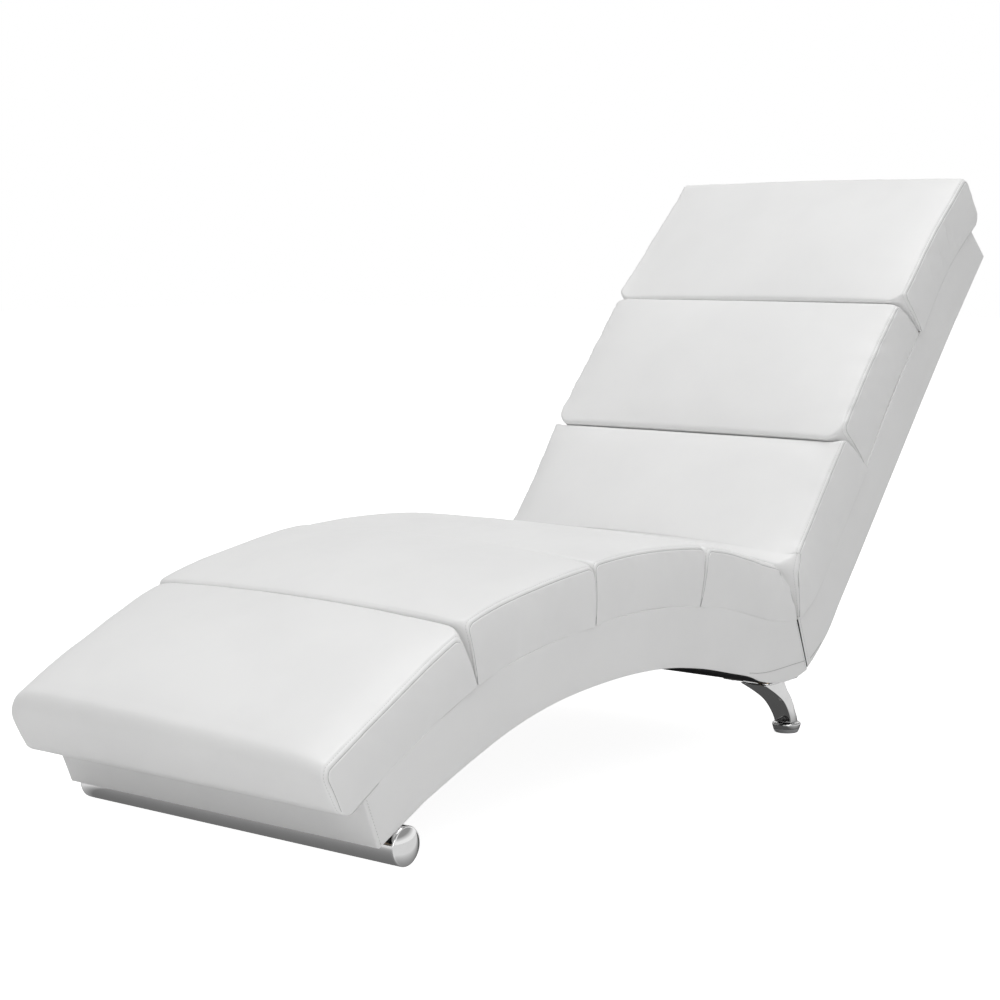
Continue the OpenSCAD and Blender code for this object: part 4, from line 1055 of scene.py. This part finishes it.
def makeLeg(sideName, side):
    look = chrome
    low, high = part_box("rear_leg_" + sideName)
    top = high.z - look["plateThick"]
    middle = side * (lounger["width"] / 2 - lounger["legInset"])
    ease = look["legRidge"]
    turns = np.radians(np.linspace(0, 90, look["cornerSteps"] + 1))
    levels = np.concatenate([low.z + ease * (1 - np.cos(turns)),
                             np.linspace(low.z + ease, top, look["legLevels"])[1:]])
    insets = np.concatenate([ease * (1 - np.sin(turns)), np.zeros(look["legLevels"] - 1)])
    edges = []
    for shares in (look["legFrontShares"], look["legRearShares"]):
        places = [(low.x + a * (high.x - low.x), low.z + b * (top - low.z)) for a, b in shares]
        places = smoothed(np.array(places))
        edges.append(np.interp(levels, places[::-1, 1], places[::-1, 0]))
    footWidth, topWidth = look["legFootWidth"], look["legTopWidth"]
    width = footWidth + (topWidth - footWidth) * (levels - low.z) / (top - low.z)
    rings = []
    for z, x0, x1, w, inset in zip(levels, *edges, width, insets):
        ring = roundedRing(x0 + inset, x1 - inset, middle - w / 2 + inset, middle + w / 2 - inset,
                           max(ease - inset, look["leastRadius"]), look["legBulge"])
        rings.append([(x, y, z) for x, y in ring])
    vertices, faces = loft(rings)
    plateX = (low.x + 2 * look["plateThick"], lounger["levelEnd"] * lounger["length"] - middleX)
    thick, bend = look["plateThick"], look["plateRound"]
    plate = [[(x, y, top + up) for x, y in roundedRing(plateX[0] + inset, plateX[1] - inset, low.y + inset,
                                                       high.y - inset, look["plateCorner"], 0)]
             for up, inset in ((0, bend), (bend, 0), (thick - bend, 0), (thick, bend))]
    plateVertices, plateFaces = loft(plate)
    faces += [tuple(len(vertices) + i for i in face) for face in plateFaces]
    makeClosed("chrome_leg_" + sideName, vertices + plateVertices, faces, "chrome", "lounger",
               "rear_leg_" + sideName)


def makeFoot(sideName):
    look = chrome
    low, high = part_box("levelling_foot_" + sideName)
    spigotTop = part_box("foot_glide_" + sideName)[1].z
    middle = Vector(((low.x + high.x) / 2, (low.y + high.y) / 2, 0))
    wide = (high.x - low.x) / 2
    bottom, top = low.z, low.z + look["discThick"]
    rim, stud, edge, fit = look["discRim"], look["studRadius"], look["discEdge"], look["fit"]
    dish, deep, pitch = look["discDish"], look["threadDepth"], look["threadPitch"]
    profile = [(0, spigotTop + edge), (stud + fit, spigotTop + edge), (stud + fit, bottom)]
    profile += arc((look["discSideLow"] - edge, bottom + edge), edge, -90, 0, 3)
    profile += arc((wide - rim, top - rim), rim, -10, 90)
    profile += [(wide - rims * rim, top - dish * share) for rims, share in look["dishPlaces"]]
    profile += [(stud + look["hubReach"], top - dish), (stud, top)]
    z = top
    while z + pitch < high.z - look["threadEnd"]:
        profile += [(stud - deep, z + 0.5 * pitch), (stud, z + pitch)]
        z += pitch
    profile += [(stud - deep, high.z), (0, high.z)]
    makeLathe("chrome_disc_" + sideName, profile, middle, (0, 0, 1), "chrome", "disc_" + sideName,
              "levelling_foot_" + sideName)
    bend = look["glideRound"]
    under, at, upper = (look["discSideLow"] - inset for inset in look["glideInsets"])
    profile = [(0, 0)] + arc((look["glideFoot"] - bend, bend), bend, -90, 0, 4)
    profile += [(under, look["glideTaper"] * low.z), (at, bottom - look["glideEdge"]), (upper, bottom - fit),
                (stud, bottom - fit), (stud, spigotTop), (0, spigotTop)]
    makeLathe("plastic_glide_" + sideName, profile, middle, (0, 0, 1), "glide_plastic", "glide_" + sideName,
              "foot_glide_" + sideName)


makeTube()
for sideName, side in sides:
    makeLeg(sideName, side)
    makeFoot(sideName)
print("chrome made")

# Studio: white floor, soft light, the photograph's viewing angle

studio = {
    "lens": 79.71, "sensor": 36.0, "camera": (-1.8851, -2.0433, 0.7614), "yaw": 38.35, "pitch": -6.44,
    "worldLight": 0.335, "floorSeen": 0.90, "floorColour": 0.80, "floorSize": 40.0,
    # the floor that metal mirrors: a painted shadow round the lounger, lighter further out
    "metalShadowNear": 0.09, "metalFar": 0.80, "metalShadowBounds": ((0.69, 0.27), (0.275, 0.05)),
    "skyLow": 1.0, "skyHigh": 0.30, "skyTurn": 0.32, "skyReach": 0.20,
}
lamps = {  # place, target, size and watts
    "overheadSoftbox": ((-0.1, -0.5, 9.0), (0.1, 0.0, 0.3), (6.5, 5.6), 520),
    "sideSoftbox": ((-2.5, -3.0, 0.9), (-0.3, 0.0, 0.3), (1.6, 1.4), 17),
    "frontSoftbox": ((-4.6, 0.6, 1.0), (0.0, 0.0, 0.3), (1.6, 1.6), 11),
}


def aimed(piece, direction):
    piece.rotation_euler = direction.to_track_quat("-Z", "Y").to_euler()


def makeCamera():
    data = bpy.data.cameras.new("camera")
    data.lens = studio["lens"]
    data.sensor_width = studio["sensor"]
    camera = linked("camera", data)
    yaw, pitch = math.radians(studio["yaw"]), math.radians(studio["pitch"])
    camera.location = Vector(studio["camera"]) - Vector((middleX, 0, 0))  # placed from the nose end
    aimed(camera, Vector((math.cos(pitch) * math.cos(yaw), math.cos(pitch) * math.sin(yaw), math.sin(pitch))))
    scene.camera = camera


def mathNode(tree, operation, first, second):
    return addNode(tree, "ShaderNodeMath", {0: first, 1: second}, 0, operation=operation)


def graded(tree, share, low, high):
    # from low to high while the share goes from 0 to 1
    share = mathNode(tree, "MINIMUM", mathNode(tree, "MAXIMUM", share, 0.0), 1.0)
    return mathNode(tree, "ADD", mathNode(tree, "MULTIPLY", share, high - low), low)


def placeParts(tree, kind):
    place = addNode(tree, "ShaderNodeTexCoord", {}, kind)
    parts = tree.nodes.new("ShaderNodeSeparateXYZ")
    setInputs(tree, parts, {0: place})
    return parts.outputs


def paintedFloorShadowInMetal(tree):
    # painted shadow: the floor that the chrome mirrors is painted dark round the lounger, as the lounger's
    # shadow, and grows lighter further out
    shares = []
    for part, (edge, reach) in zip(placeParts(tree, "Object"), studio["metalShadowBounds"]):
        away = mathNode(tree, "SUBTRACT", mathNode(tree, "ABSOLUTE", part, 0.0), edge)
        shares.append(mathNode(tree, "DIVIDE", away, reach))
    return graded(tree, mathNode(tree, "MAXIMUM", *shares), studio["metalShadowNear"], studio["metalFar"])


def seenRays(tree, direct, mirrored):
    # one value for rays of the camera, another for those seen in metal, and none for light itself
    rays = tree.nodes.new("ShaderNodeLightPath").outputs
    mirror = mathNode(tree, "MAXIMUM", rays["Is Glossy Ray"], rays["Is Transmission Ray"])
    mirror = mathNode(tree, "MULTIPLY", mirror, mirrored)
    return mathNode(tree, "MAXIMUM", mathNode(tree, "MULTIPLY", rays["Is Camera Ray"], direct), mirror)


def makeFloor():
    size = studio["floorSize"] / 2
    material = bpy.data.materials.new("studioFloor")
    material.use_nodes = True
    tree = material.node_tree
    tree.nodes.clear()
    strength = seenRays(tree, studio["floorSeen"], paintedFloorShadowInMetal(tree))
    glow = addNode(tree, "ShaderNodeEmission", {"Strength": strength}, 0)
    # metal sees none of the floor's own light and shadow, only the painted shadow above
    lit = mathNode(tree, "SUBTRACT", 1.0, seenRays(tree, 0.0, 1.0))
    colour = mathNode(tree, "MULTIPLY", lit, studio["floorColour"])
    diffuse = addNode(tree, "ShaderNodeBsdfDiffuse", {"Color": colour}, 0)
    both = addNode(tree, "ShaderNodeAddShader", {0: diffuse, 1: glow}, 0)
    setInputs(tree, tree.nodes.new("ShaderNodeOutputMaterial"), {"Surface": both})
    corners = [(-size, -size, 0), (size, -size, 0), (size, size, 0), (-size, size, 0)]
    makeObject("studioFloor", corners, [(0, 1, 2, 3)], material, smooth=False)


def makeWorld():
    world = bpy.data.worlds.new("studio")
    world.use_nodes = True
    scene.world = world
    tree = world.node_tree
    fall = mathNode(tree, "SUBTRACT", studio["skyTurn"], placeParts(tree, "Generated")[2])
    fall = mathNode(tree, "DIVIDE", fall, studio["skyReach"])
    sky = graded(tree, fall, studio["skyHigh"], studio["skyLow"])  # the chrome mirrors it darker overhead
    strength = mathNode(tree, "MAXIMUM", seenRays(tree, 1.0, sky), studio["worldLight"])
    setInputs(tree, tree.nodes["Background"], {"Color": (1, 1, 1, 1), "Strength": strength})


makeCamera()
makeFloor()
makeWorld()
for lampName, (place, target, size, watts) in lamps.items():
    data = bpy.data.lights.new(lampName, "AREA")
    data.shape = "RECTANGLE"
    data.size, data.size_y = size
    data.energy = watts
    box = linked(lampName, data)
    box.location = place
    aimed(box, Vector(target) - Vector(place))
scene.view_settings.view_transform = "Standard"
print("studio made")
